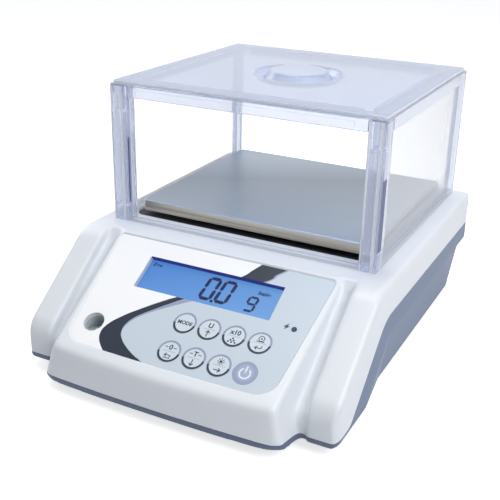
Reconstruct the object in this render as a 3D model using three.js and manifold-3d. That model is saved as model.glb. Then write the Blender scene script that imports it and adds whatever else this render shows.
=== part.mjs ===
// Precision balance with a clear draft shield, in millimetres.
// X runs to the right, the console faces -Y, and Z is up.
// The origin lies on the table under the middle of the housing.

import * as THREE from 'three';
import { ConvexGeometry } from 'three/addons/geometries/ConvexGeometry.js';
import { mergeVertices } from 'three/addons/utils/BufferGeometryUtils.js';
import Module from 'manifold-3d';

const wasm = await Module();
wasm.setup();

// Clearances and tool sizes
const partGap = 0.3;
const overrun = 6;
const roundSteps = 4;
const circleSides = 20;
const smallCircleSides = 12;

// Housing, two ABS shells
const housingWidth = 215;
const housingDepth = 288;
const deckHeight = 77.5;
const baseClearance = 6.5;
const shellWall = 2.6;
const rearEdgeRound = 5;
const rearCornerRound = 10;
const sideEdgeRound = 4;

// Draft shield, as large as the deck in front of it and beside it allows
const consoleRun = 84.5;
const deckLip = 15.5;
const shieldSideMargin = 12.5;
const shieldRearMargin = 12;
const shieldHeight = 96;
const shieldWidth = housingWidth - 2 * shieldSideMargin;
const shieldDepth = housingDepth - consoleRun - deckLip - shieldRearMargin;

// Sloping console
const panelTilt = THREE.MathUtils.degToRad(30);
const consoleFrontLean = 2.9;
const panelLength = (consoleRun - consoleFrontLean) / Math.cos(panelTilt);
const panelBendRound = 10;
const wingWidth = 19;
const grooveWidth = 6.5;
const wingInner = housingWidth / 2 - wingWidth;
const panelTopHalfWidth = wingInner - grooveWidth;
const panelTaper = 4.5;
const panelEdgeRound = 3.5;
const consoleDraftShare = 0.245;
const consoleFrontRoundShare = 0.314;
const consoleCornerRound = 16;
const consoleFoot = 4;
const consoleCornerReach = panelTopHalfWidth + consoleFoot;

// Side wings beside the console, and the groove between
const wingSetback = 5.4;
const wingShortfall = 15.95;
const wingSlope = THREE.MathUtils.degToRad(37.7);
const wingRun = consoleRun - wingSetback - wingShortfall;
const wingNoseLean = 3.5;
const wingBendRound = 25;
const wingNoseRoundShare = 0.765;
const wingCornerRound = 9;
const wingInnerRound = 1.2;
const leastRound = 0.3;
const grooveDepth = 7;
const grooveFrontSetback = 1.5;
const grooveReach = 7.5;
const grooveHalfWidth = wingInner + grooveReach;

// Seam between the shells
const seamDrop = 22;
const seamSlope = THREE.MathUtils.degToRad(42.7);
const seamBendBehind = 4.5;
const seamBendRound = 25;
const seamFrontRound = 10;
const frontLip = 2.8;

// Lower housing: a shallow rim, and a tub set in from the back
const rimHeight = 13.5;
const tubRearInset = 32;
const tubRearLean = 3;
const tubSideInset = 5.5;
const tubFlareRun = 40;

// Well in the deck under the pan, and its black liner
const wellSideGap = 5;
const wellHalfWidth = shieldWidth / 2 - wellSideGap;
const wellFrontGap = 15.5;
const wellRearGap = 4.5;
const wellRound = 8;
const wellDepth = 2.3;
const linerThickness = 1.5;

// Pan and its support
const panSideGap = 9.5;
const panFrontGap = 19.6;
const panRearGap = 7.1;
const panWidth = shieldWidth - 2 * panSideGap;
const panDepth = shieldDepth - panFrontGap - panRearGap;
const panRise = 9.7;
const panSheet = 1.2;
const panSkirt = 7.3;
const panCornerRound = 3.5;
const padRadius = 6;
const padHeight = 3;
const padMarginX = 23.5;
const padMarginY = 22.65;
const padSpanX = panWidth - 2 * padMarginX;
const padSpanY = panDepth - 2 * padMarginY;
const armWidth = 11;
const armHeight = 4;
const supportPostX = 9;
const supportPostY = 20;
const supportFlangeHeight = 4;

// Load cell and its screws
const cellShortfall = 39.3;
const cellLength = panDepth - cellShortfall;
const cellWidth = 30;
const cellHeight = 22;
const cellSeatRise = 6;
const cellEndInset = 12;
const cellScrewSpacing = 20;
const cellScrewShank = 1.8;
const cellScrewHead = 3.4;
const cellScrewHeadHeight = 3;
const cellScrewDepth = 12;
const cellBoreRadius = 7.5;
const cellBoreSpacing = 34;
const cellWebSlot = 5;

// Screws and bosses of the housing
const housingScrewShank = 1.5;
const housingScrewHead = 3.1;
const housingScrewHeadHeight = 2.5;
const housingScrewLength = 24;
const housingBossRadius = 4.2;
const lowerBossHeight = 13.5;
const rearScrewInset = 11.5;
const rearScrewMargin = 44;
const frontScrewInset = 9.5;
const frontScrewMargin = 30;
const rearScrewX = housingWidth / 2 - rearScrewInset;
const rearScrewY = housingDepth / 2 - rearScrewMargin;
const frontScrewX = housingWidth / 2 - frontScrewInset;
const frontScrewY = frontScrewMargin - housingDepth / 2;

// Levelling feet
const footInset = 18.5;
const rearFootMargin = 66;
const frontFootMargin = 44;
const footX = housingWidth / 2 - footInset;
const rearFootY = housingDepth / 2 - rearFootMargin;
const frontFootY = frontFootMargin - housingDepth / 2;
const footStemRadius = 3;
const footStemLength = 12.5;
const footWheelRadius = 9.5;
const footWheelHeight = 4;
const footPadRadius = 8.5;
const footPadHeight = 1.9;
const footBossRadius = 6.2;
const footBossHeight = 9.5;
const stemClearance = 0.45;

// Film on the console, in the console's own frame
const filmMargin = 2.2;
const filmRecess = 1.8;
const filmThickness = 0.6;
const filmTopInset = 4.7;
const filmBottomInset = 12.2;
const filmFrontMargin = 6.2;
const filmTopHalfWidth = panelTopHalfWidth - filmTopInset;
const filmBottomHalfWidth = panelTopHalfWidth - filmBottomInset;
const filmLength = panelLength - filmMargin - filmFrontMargin;
const filmBow = 1.8;
const filmTopRound = 3;
const filmBottomRound = 13;
const panelBacking = 4.4;
const panelBackingMargin = 3;

// Display behind the film
const windowX = 0.8;
const windowShare = 0.288;
const windowCentre = windowShare * filmLength;
const windowInset = 29.7;
const windowWidth = 2 * (filmTopHalfWidth - windowInset);
const windowHeight = windowShare * filmLength;
const windowDrop = 1;
const glassFrame = 2.9;
const glassWidth = windowWidth + 2 * glassFrame;
const glassMargin = 4.65;
const glassHeight = windowHeight + 2 * glassMargin;
const glassThickness = 2.2;
const backlightThickness = 3.5;
const boardLeftInset = 28.8;
const boardRightInset = 5.8;
const boardRearInset = 6;
const boardFrontInset = 1.8;
const boardWidth = 2 * filmTopHalfWidth - boardLeftInset - boardRightInset;
const boardLength = filmLength - boardRearInset - boardFrontInset;
const boardX = (boardLeftInset - boardRightInset) / 2;
const boardCentre = (filmLength + boardRearInset - boardFrontInset) / 2;
const boardThickness = 1.6;

// Keys under the film
const keyPitch = 16.75;
const keyRowShare = 0.247;
const keyRowPitch = keyRowShare * filmLength;
const keySideMargin = 20.05;
const keyFrontMargin = 11.1;
const keyFirstX = filmBottomHalfWidth - keySideMargin - 3 * keyPitch;
const keyRowSecond = filmLength - keyFrontMargin;
const keyRowFirst = keyRowSecond - keyRowPitch;
const keyRadius = 7.4;
const powerKeyRadius = 8.2;
const keyDiscThickness = 0.7;
const keyProud = 0.15;
const keyStemRadius = 2.2;
const keyStemClearance = 0.5;
const keySwitchGap = 0.4;
const keyClearance = 0.25;

// Charge lamp and spirit level in the console
const ledInset = 11.9;
const ledX = filmTopHalfWidth - ledInset;
const ledShare = 0.452;
const ledDistance = ledShare * filmLength;
const ledRadius = 1.6;
const ledProud = 0.4;
const levelSideMargin = 11.7;
const levelFrontMargin = 17.2;
const levelX = levelSideMargin - filmBottomHalfWidth;
const levelDistance = filmLength - levelFrontMargin;
const levelHoleRadius = 6.8;
const levelCupRadius = 7.9;
const levelCupHeight = 9;
const levelVialRadius = 6.3;
const levelVialHeight = 6;

// Electronics in the housing
const boardCellGap = 9;
const mainBoardInset = 27.5;
const mainBoardShortfall = 37.3;
const mainBoardShift = 14.25;
const mainBoardWidth = housingWidth / 2 - mainBoardInset - boardCellGap - cellWidth / 2;
const mainBoardX = (housingWidth / 2 - mainBoardInset + boardCellGap + cellWidth / 2) / 2;
const mainBoardLength = panDepth - mainBoardShortfall;
const standoffHeight = 8.5;
const standoffRadius = 3;
const standoffInset = 6;
const batteryInset = 13.5;
const batteryCellGap = 9;
const batteryShortfall = 48.3;
const batteryShift = 30.25;
const batteryHeadroom = 30.5;
const batteryWidth = housingWidth / 2 - batteryInset - batteryCellGap - cellWidth / 2;
const batteryX = (batteryInset - housingWidth / 2 - batteryCellGap - cellWidth / 2) / 2;
const batteryLength = panDepth - batteryShortfall;
const batteryHeight = deckHeight - batteryHeadroom;
const terminalHeight = 5;
const terminalSide = 6;
const jackSide = 12;
const jackDepth = 13;
const jackBarrel = 4.6;
const jackBore = 3.2;
const jackBoreDepth = 9;
const serialFlangeWidth = 31;
const serialFlangeHeight = 12.5;
const serialShellWidth = 17;
const serialShellHeight = 8.5;
const serialBodyDepth = 8;
const serialPocketDepth = 5;
const serialShellWall = 0.8;

// Draft shield pieces
const frontPostSide = 11.5;
const rearPostSide = 6.5;
const railHeight = 5.5;
const railLip = 2.5;
const railLedge = 2;
const railDepth = 4.9;
const panelSheet = 2;
const lidThickness = 1.6;
const lidInset = 1.2;
const frameFlange = 1.2;
const frameFlangeWidth = 12;
const frameSkirt = 7;
const frameSkirtWall = 2.5;
const lidRibHeight = 4.2;
const lidRibThickness = 2;
const lidRibEndGap = 20;
const lidRibHalfLength = shieldWidth / 2 - lidRibEndGap;
const gripOuter = 31;
const gripTroughOuter = 27;
const gripTroughInner = 24;
const gripKnob = 20;
const gripTroughDepth = 3.8;
const gripKnobRise = 2.2;
const gripWall = 1.7;

// Places that follow from the sizes above
const halfWidth = housingWidth / 2;
const rearY = housingDepth / 2;
const frontY = -rearY;
const shieldRearY = rearY - shieldRearMargin;
const shieldFrontY = shieldRearY - shieldDepth;
const panelStartY = shieldFrontY - deckLip;
const panelEndY = panelStartY - panelLength * Math.cos(panelTilt);
const panelEndZ = deckHeight - panelLength * Math.sin(panelTilt);
const wingStartY = panelStartY - wingSetback;
const wingNoseY = wingStartY - wingRun;
const wingNoseZ = deckHeight - wingRun * Math.tan(wingSlope);
const wingNoseRound = wingNoseRoundShare * (wingNoseZ - baseClearance);
const consoleFrontRound = consoleFrontRoundShare * (panelEndZ - baseClearance);
const seamZ = deckHeight - seamDrop;
const frontSeamZ = baseClearance + frontLip;
const rimBottomZ = seamZ - rimHeight;
const tubRearY = rearY - tubRearInset;
const tubFlareStart = shieldFrontY;
const tubFlareEnd = tubFlareStart - tubFlareRun;
const floorZ = baseClearance + shellWall;
const panTopZ = deckHeight + panRise;
const panY = shieldFrontY + panFrontGap + panDepth / 2;
const wellFrontY = shieldFrontY + wellFrontGap;
const wellRearY = shieldRearY - wellRearGap;
const wellFloorZ = deckHeight - wellDepth;
const mainBoardY = panY - mainBoardShift;
const batteryY = panY - batteryShift;
const jackX = mainBoardX;
const serialX = -mainBoardX;
const jackHeight = (floorZ + rimBottomZ) / 2;
const serialHeight = jackHeight;

const balance = new THREE.Group();

const finishes = {
  whiteAbs: new THREE.MeshStandardMaterial({ color: '#e9eef3', roughness: 0.42, metalness: 0 }),
  greyAbs: new THREE.MeshStandardMaterial({ color: '#8a99b4', roughness: 0.5, metalness: 0 }),
  blackAbs: new THREE.MeshStandardMaterial({ color: '#1c1e22', roughness: 0.6, metalness: 0 }),
  film: new THREE.MeshStandardMaterial({ color: '#dbe5ee', roughness: 0.35, metalness: 0 }),
  powerKey: new THREE.MeshStandardMaterial({ color: '#a9b2c8', roughness: 0.35, metalness: 0 }),
  clearPlastic: new THREE.MeshStandardMaterial({
    color: '#dfe6f5', roughness: 0.08, metalness: 0, transparent: true, opacity: 0.35,
  }),
  lcd: new THREE.MeshStandardMaterial({ color: '#6fa3e0', roughness: 0.2, metalness: 0 }),
  whitePlastic: new THREE.MeshStandardMaterial({ color: '#eef1f4', roughness: 0.5, metalness: 0 }),
  board: new THREE.MeshStandardMaterial({ color: '#1f5b38', roughness: 0.5, metalness: 0 }),
  led: new THREE.MeshStandardMaterial({ color: '#2c3564', roughness: 0.2, metalness: 0 }),
  stainless: new THREE.MeshStandardMaterial({ color: '#b9bfc6', roughness: 0.35, metalness: 1 }),
  steel: new THREE.MeshStandardMaterial({ color: '#a4a8ac', roughness: 0.3, metalness: 1 }),
  aluminium: new THREE.MeshStandardMaterial({ color: '#c4c7ca', roughness: 0.4, metalness: 1 }),
  rubber: new THREE.MeshStandardMaterial({ color: '#26282b', roughness: 0.85, metalness: 0 }),
  battery: new THREE.MeshStandardMaterial({ color: '#3a3d42', roughness: 0.55, metalness: 0 }),
};

function addPart(name, geometry, finish, parent = balance) {
  const mesh = new THREE.Mesh(geometry, finishes[finish]);
  mesh.name = name;
  parent.add(mesh);
  return mesh;
}

// A closed geometry as a solid, and a solid as a geometry
function solidOf(geometry) {
  const bare = geometry.clone();
  bare.deleteAttribute('normal');
  bare.deleteAttribute('uv');
  const merged = mergeVertices(bare);
  return new wasm.Manifold(new wasm.Mesh({
    numProp: 3,
    vertProperties: new Float32Array(merged.attributes.position.array),
    triVerts: new Uint32Array(merged.index.array),
  }));
}

function geometryOf(solid) {
  const mesh = solid.getMesh();
  const geometry = new THREE.BufferGeometry();
  const places = new Float32Array(mesh.numVert * 3);
  for (let i = 0; i < mesh.numVert; i += 1) {
    places.set(mesh.vertProperties.subarray(i * mesh.numProp, i * mesh.numProp + 3), i * 3);
  }
  geometry.setAttribute('position', new THREE.BufferAttribute(places, 3));
  geometry.setIndex(Array.from(mesh.triVerts));
  return geometry;
}

function joined(geometries) {
  return geometries.map(solidOf).reduce((whole, piece) => whole.add(piece));
}

function cut(solid, geometries) {
  return geometries.map(solidOf).reduce((whole, piece) => whole.subtract(piece), solid);
}

// A block between two corners, and an upright round bar
function block(x0, x1, y0, y1, z0, z1) {
  const geometry = new THREE.BoxGeometry(x1 - x0, y1 - y0, z1 - z0);
  return geometry.translate((x0 + x1) / 2, (y0 + y1) / 2, (z0 + z1) / 2);
}

function bar(radius, x, y, z0, z1, sides = circleSides) {
  const geometry = new THREE.CylinderGeometry(radius, radius, z1 - z0, sides);
  return geometry.rotateX(Math.PI / 2).translate(x, y, (z0 + z1) / 2);
}

// A flat outline pushed along one axis: outline (Y, Z) along X, or (X, Y) along Z
function prism(shape, axis, from, to) {
  const geometry = new THREE.ExtrudeGeometry(shape, {
    depth: to - from, bevelEnabled: false, curveSegments: circleSides,
  });
  geometry.translate(0, 0, from);
  if (axis === 'x') {
    const turn = new THREE.Matrix4().makeBasis(
      new THREE.Vector3(0, 1, 0),
      new THREE.Vector3(0, 0, 1),
      new THREE.Vector3(1, 0, 0),
    );
    geometry.applyMatrix4(turn);
  }
  return geometry;
}

// Moves each edge of an anticlockwise outline inwards by its own distance
function inset(points, distances) {
  const count = points.length;
  const edges = points.map((start, i) => {
    const along = points[(i + 1) % count].clone().sub(start).normalize();
    const inward = new THREE.Vector2(-along.y, along.x);
    return { start: start.clone().addScaledVector(inward, distances[i]), along };
  });
  return points.map((corner, i) => {
    const before = edges[(i + count - 1) % count];
    const after = edges[i];
    const offset = after.start.clone().sub(before.start);
    const step = offset.cross(after.along) / before.along.cross(after.along);
    return before.start.clone().addScaledVector(before.along, step);
  });
}

// Replaces each corner of an outline by an arc of its own radius
function rounded(points, radii, steps = roundSteps) {
  const count = points.length;
  return points.flatMap((corner, i) => {
    if (radii[i] <= 0) {
      return [corner.clone()];
    }
    const toBefore = points[(i + count - 1) % count].clone().sub(corner).normalize();
    const toAfter = points[(i + 1) % count].clone().sub(corner).normalize();
    const halfAngle = Math.acos(toBefore.dot(toAfter)) / 2;
    const middle = toBefore.clone().add(toAfter).normalize();
    const centre = corner.clone().addScaledVector(middle, radii[i] / Math.sin(halfAngle));
    const spoke = corner.clone()
      .addScaledVector(toBefore, radii[i] / Math.tan(halfAngle))
      .sub(centre);
    const sweep = Math.sign(toBefore.cross(toAfter)) * (2 * halfAngle - Math.PI);
    return Array.from({ length: steps + 1 }, (_, k) => {
      return spoke.clone().rotateAround(new THREE.Vector2(), (sweep * k) / steps).add(centre);
    });
  });
}

// A closed skin through rings of equally many points, each ring facing the next one
function loft(rings) {
  const count = rings[0].length;
  const places = rings.flatMap((ring) => ring.flatMap((point) => point.toArray()));
  const faces = [];
  for (let r = 0; r + 1 < rings.length; r += 1) {
    for (let j = 0; j < count; j += 1) {
      const a = r * count + j;
      const b = r * count + ((j + 1) % count);
      faces.push(a, b, b + count, a, b + count, a + count);
    }
  }
  const last = (rings.length - 1) * count;
  for (let j = 1; j + 1 < count; j += 1) {
    faces.push(0, j + 1, j, last, last + j, last + j + 1);
  }
  const geometry = new THREE.BufferGeometry();
  geometry.setAttribute('position', new THREE.Float32BufferAttribute(places, 3));
  geometry.setIndex(faces);
  return geometry;
}

function roundedRectangle(x0, x1, y0, y1, radius) {
  const corners = [
    new THREE.Vector2(x0, y0),
    new THREE.Vector2(x1, y0),
    new THREE.Vector2(x1, y1),
    new THREE.Vector2(x0, y1),
  ];
  return new THREE.Shape(rounded(corners, corners.map(() => radius)));
}

// Side view of a wing (Y, Z), and its form with every edge but the bottom set in
const wingOutline = [
  new THREE.Vector2(rearY, baseClearance),
  new THREE.Vector2(rearY, deckHeight),
  new THREE.Vector2(wingStartY, deckHeight),
  new THREE.Vector2(wingNoseY, wingNoseZ),
  new THREE.Vector2(wingNoseY + wingNoseLean, baseClearance),
];

function wingRing(x, depth) {
  const corners = inset(wingOutline, [depth, depth, depth, depth, 0]);
  const radii = [0, rearEdgeRound, wingBendRound, wingNoseRound, 0];
  const left = radii.map((radius) => (radius > 0 ? Math.max(radius - depth, leastRound) : 0));
  const outline = rounded(corners, left);
  return outline.map((point) => new THREE.Vector3(x, point.x, point.y));
}

function wing(side, shell) {
  const outer = halfWidth - shell;
  const inner = wingInner + shell;
  const halfRound = sideEdgeRound * (1 - Math.SQRT1_2);
  const rings = [
    wingRing(side * inner, shell + wingInnerRound),
    wingRing(side * (inner + wingInnerRound), shell),
    wingRing(side * (outer - sideEdgeRound), shell),
    wingRing(side * (outer - halfRound), shell + halfRound),
    wingRing(side * outer, shell + sideEdgeRound),
  ];
  return loft(side > 0 ? rings : rings.reverse());
}

// The floor of the groove beside the console, carried through as one slab
function slab(shell) {
  const grooveStartY = panelStartY + panelBendRound * Math.tan(panelTilt / 2);
  const lowered = inset(wingOutline, [shell, grooveDepth + shell, grooveDepth + shell,
    grooveFrontSetback + shell, 0]);
  const outline = [
    lowered[0],
    new THREE.Vector2(rearY - shell, deckHeight - shell),
    new THREE.Vector2(grooveStartY + 2 * shell, deckHeight - shell),
    lowered[2],
    lowered[3],
    lowered[4],
  ];
  const radii = [0, rearEdgeRound - shell, 0, 0, wingNoseRound - grooveDepth, 0];
  return prism(new THREE.Shape(rounded(outline, radii)), 'x', -grooveHalfWidth, grooveHalfWidth);
}

// Side view of the console (Y, Z)
const consoleRearY = shieldFrontY;
const consoleOutline = [
  new THREE.Vector2(consoleRearY, baseClearance),
  new THREE.Vector2(consoleRearY, deckHeight),
  new THREE.Vector2(panelStartY, deckHeight),
  new THREE.Vector2(panelEndY, panelEndZ),
  new THREE.Vector2(frontY, baseClearance),
];

function consoleSection(topDepth, frontDepth) {
  const corners = inset(consoleOutline, [0, topDepth, topDepth, frontDepth, 0]);
  return rounded(corners, [0, 0, panelBendRound - topDepth, consoleFrontRound - frontDepth, 0]);
}

// Half width of the panel at its side edge, which narrows towards the front
function panelHalfWidth(y) {
  return panelTopHalfWidth - (panelTaper * (panelStartY - y)) / (panelStartY - panelEndY);
}

function panelZ(y) {
  return deckHeight - (panelStartY - y) * Math.tan(panelTilt);
}

// Side wall of the console, which leans outwards towards its foot
function consoleWallX(y, z) {
  const drop = panelZ(y) - panelEdgeRound / Math.cos(panelTilt) - z;
  return panelHalfWidth(y) + consoleDraftShare * drop;
}

function consoleForm(shell) {
  const bevels = [0, 1].map((k) => (k * Math.PI) / 4);
  const side = (sign) => {
    const rounding = bevels.map((angle) => {
      const depth = shell + panelEdgeRound * (1 - Math.cos(angle));
      const reach = -shell - panelEdgeRound * (1 - Math.sin(angle));
      return consoleSection(depth, shell).map((point) => {
        return new THREE.Vector3(sign * (panelHalfWidth(point.x) + reach), point.x, point.y);
      });
    });
    const wall = consoleSection(shell + panelEdgeRound, shell).map((point) => {
      return new THREE.Vector3(sign * (consoleWallX(point.x, point.y) - shell), point.x, point.y);
    });
    return [...rounding, wall];
  };
  return loft([...side(-1).reverse(), ...side(1)]);
}

// Plan of the whole housing (X, Y), which rounds its upright corners
function footprint(shell) {
  const wingFront = wingNoseY - wingNoseLean;
  const right = [
    new THREE.Vector2(consoleCornerReach, frontY),
    new THREE.Vector2(consoleCornerReach, wingFront),
    new THREE.Vector2(halfWidth, wingFront),
    new THREE.Vector2(halfWidth, rearY),
  ];
  const left = right.map((point) => new THREE.Vector2(-point.x, point.y)).reverse();
  const radii = [consoleCornerRound, 0, wingCornerRound + wingNoseLean, rearCornerRound];
  const corners = inset([...right, ...left], right.concat(left).map(() => shell));
  const softened = [...radii, ...radii.slice().reverse()].map((radius) => {
    return Math.max(radius - shell, 0);
  });
  return prism(new THREE.Shape(rounded(corners, softened)), 'z', -overrun, deckHeight + overrun);
}

// The housing's outer form, or with a shell thickness the space inside it
function housingForm(shell) {
  return joined([wing(1, shell), wing(-1, shell), slab(shell), consoleForm(shell)])
    .intersect(solidOf(footprint(shell)));
}

// Everything above the seam, raised by half the gap between the shells
function aboveSeam(raise) {
  const bendY = panelStartY + seamBendBehind;
  const footY = bendY - (seamZ - frontSeamZ) / Math.tan(seamSlope);
  const outline = [
    new THREE.Vector2(rearY + overrun, seamZ),
    new THREE.Vector2(rearY + overrun, deckHeight + overrun),
    new THREE.Vector2(frontY - overrun, deckHeight + overrun),
    new THREE.Vector2(frontY - overrun, frontSeamZ),
    new THREE.Vector2(footY, frontSeamZ),
    new THREE.Vector2(bendY, seamZ),
  ];
  const moved = inset(outline, [0, 0, 0, raise, raise, raise]);
  const softened = rounded(moved, [0, 0, 0, 0, seamFrontRound, seamBendRound]);
  return prism(new THREE.Shape(softened), 'x', -halfWidth - overrun, halfWidth + overrun);
}

const outerForm = housingForm(0);
const innerForm = housingForm(shellWall);

// Frame of the console's face: X right, Y up the slope, Z out of the face
const consoleFace = new THREE.Group();
consoleFace.position.set(
  0,
  panelStartY - filmMargin * Math.cos(panelTilt),
  deckHeight - filmMargin * Math.sin(panelTilt),
);
consoleFace.rotation.x = panelTilt;
consoleFace.updateMatrix();
balance.add(consoleFace);

const keys = [
  { name: 'key_mode', column: 0, row: keyRowFirst, radius: keyRadius },
  { name: 'key_unit', column: 1, row: keyRowFirst, radius: keyRadius },
  { name: 'key_times_ten', column: 2, row: keyRowFirst, radius: keyRadius },
  { name: 'key_print', column: 3, row: keyRowFirst, radius: keyRadius },
  { name: 'key_zero', column: 0, row: keyRowSecond, radius: keyRadius },
  { name: 'key_tare', column: 1, row: keyRowSecond, radius: keyRadius },
  { name: 'key_light', column: 2, row: keyRowSecond, radius: keyRadius },
  { name: 'key_power', column: 3, row: keyRowSecond, radius: powerKeyRadius },
].map((key) => ({ ...key, x: keyFirstX + key.column * keyPitch }));

// Outline of the film: wide at the top, bowed and well rounded at the bottom
function filmOutline(margin) {
  const bottom = -filmLength + filmBow;
  const corners = [
    new THREE.Vector2(-filmBottomHalfWidth, bottom),
    new THREE.Vector2(0, -filmLength),
    new THREE.Vector2(filmBottomHalfWidth, bottom),
    new THREE.Vector2(filmTopHalfWidth, 0),
    new THREE.Vector2(-filmTopHalfWidth, 0),
  ];
  const radii = [filmBottomRound, 0, filmBottomRound, filmTopRound, filmTopRound];
  return rounded(inset(corners, corners.map(() => margin)), radii);
}

function faceCut(geometry) {
  return geometry.applyMatrix4(consoleFace.matrix);
}

const postY = panY - cellLength / 2 + cellEndInset;
const postHoleX = supportPostX / 2 + shellWall;
const postHoleY = supportPostY / 2 + shellWall;

const housingScrews = [
  { x: rearScrewX, y: rearScrewY },
  { x: -rearScrewX, y: rearScrewY },
  { x: frontScrewX, y: frontScrewY },
  { x: -frontScrewX, y: frontScrewY },
];
const lowerBossTop = floorZ + lowerBossHeight;

function buildUpperHousing() {
  const wellFloor = block(-wellHalfWidth - shellWall, wellHalfWidth + shellWall,
    wellFrontY - shellWall, wellRearY + shellWall,
    wellFloorZ - shellWall, deckHeight - shellWall / 2);
  const backing = faceCut(block(-filmTopHalfWidth - panelBackingMargin / 2,
    filmTopHalfWidth + panelBackingMargin / 2,
    -filmLength - panelBackingMargin, panelBackingMargin,
    -panelBacking, -shellWall / 2));
  const bosses = housingScrews.map(({ x, y }) => {
    return bar(housingBossRadius, x, y, lowerBossTop + partGap, deckHeight, smallCircleSides);
  });
  const extras = joined([wellFloor, backing, ...bosses]).intersect(outerForm);
  const shell = outerForm.subtract(innerForm).add(extras)
    .intersect(solidOf(aboveSeam(partGap / 2)));
  const well = prism(
    roundedRectangle(-wellHalfWidth, wellHalfWidth, wellFrontY, wellRearY, wellRound),
    'z', wellFloorZ, deckHeight + overrun,
  );
  const postHole = block(-postHoleX, postHoleX, postY - postHoleY, postY + postHoleY,
    wellFloorZ - shellWall - overrun, deckHeight);
  const recess = faceCut(prism(new THREE.Shape(filmOutline(-partGap)), 'z', -filmRecess, overrun));
  const through = -panelBacking - overrun;
  const windowHole = faceCut(block(
    windowX - windowWidth / 2 - partGap, windowX + windowWidth / 2 + partGap,
    -windowCentre - windowHeight / 2 - partGap, -windowCentre + windowHeight / 2 + partGap,
    through, 0));
  const stemHoles = keys.map((key) => faceCut(bar(keyStemRadius + keyStemClearance, key.x, -key.row,
    through, 0, smallCircleSides)));
  const ledHole = faceCut(bar(ledRadius + partGap, ledX, -ledDistance, through, 0,
    smallCircleSides));
  const levelHole = faceCut(bar(levelHoleRadius, levelX, -levelDistance, through, 0));
  const pilots = housingScrews.map(({ x, y }) => bar(housingScrewShank + partGap, x, y,
    lowerBossTop, floorZ + housingScrewLength + partGap, smallCircleSides));
  return cut(shell, [well, postHole, recess, windowHole, ...stemHoles, ledHole, levelHole,
    ...pilots]);
}

// Space behind the tub, under the back of the rim
function rearUndercut(shell) {
  const outline = [
    new THREE.Vector2(tubRearY - shell, rimBottomZ + shell),
    new THREE.Vector2(tubRearY + tubRearLean - shell, baseClearance - shell),
    new THREE.Vector2(tubRearY + tubRearLean - shell, baseClearance - overrun),
    new THREE.Vector2(rearY + overrun, baseClearance - overrun),
    new THREE.Vector2(rearY + overrun, rimBottomZ + shell),
  ];
  return prism(new THREE.Shape(outline), 'x', -halfWidth - overrun, halfWidth + overrun);
}

// Slanted lower side of the tub, which runs out towards the front
function sideSlant(side, shell) {
  const lean = tubSideInset / (rimBottomZ - baseClearance);
  const top = rimBottomZ + overrun;
  const bottom = baseClearance - overrun;
  const wallX = (z) => halfWidth - shell - lean * (rimBottomZ - z);
  const flareX = (y, z) => {
    const run = (tubFlareStart - y) / (tubFlareStart - tubFlareEnd);
    return wallX(z) + tubSideInset * run;
  };
  const ahead = tubFlareEnd - overrun;
  const outside = flareX(ahead, top) + overrun;
  const corners = [top, bottom].flatMap((z) => [
    new THREE.Vector3(side * wallX(z), rearY + overrun, z),
    new THREE.Vector3(side * wallX(z), tubFlareStart, z),
    new THREE.Vector3(side * flareX(ahead, z), ahead, z),
    new THREE.Vector3(side * outside, ahead, z),
    new THREE.Vector3(side * outside, rearY + overrun, z),
  ]);
  return new ConvexGeometry(corners);
}

const feet = [
  { x: -footX, y: frontFootY },
  { x: footX, y: frontFootY },
  { x: -footX, y: rearFootY },
  { x: footX, y: rearFootY },
];

const cellRearY = panY + cellLength / 2;
const cellFrontY = panY - cellLength / 2;
const cellSeatZ = floorZ + cellSeatRise;
const cellZ = cellSeatZ + partGap;
const fixedScrewY = cellRearY - cellEndInset;
const cellScrewXs = [-cellScrewSpacing / 2, cellScrewSpacing / 2];
const fixedHeadZ = baseClearance + partGap;

const mainBoardZ = floorZ + standoffHeight + partGap;

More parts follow.
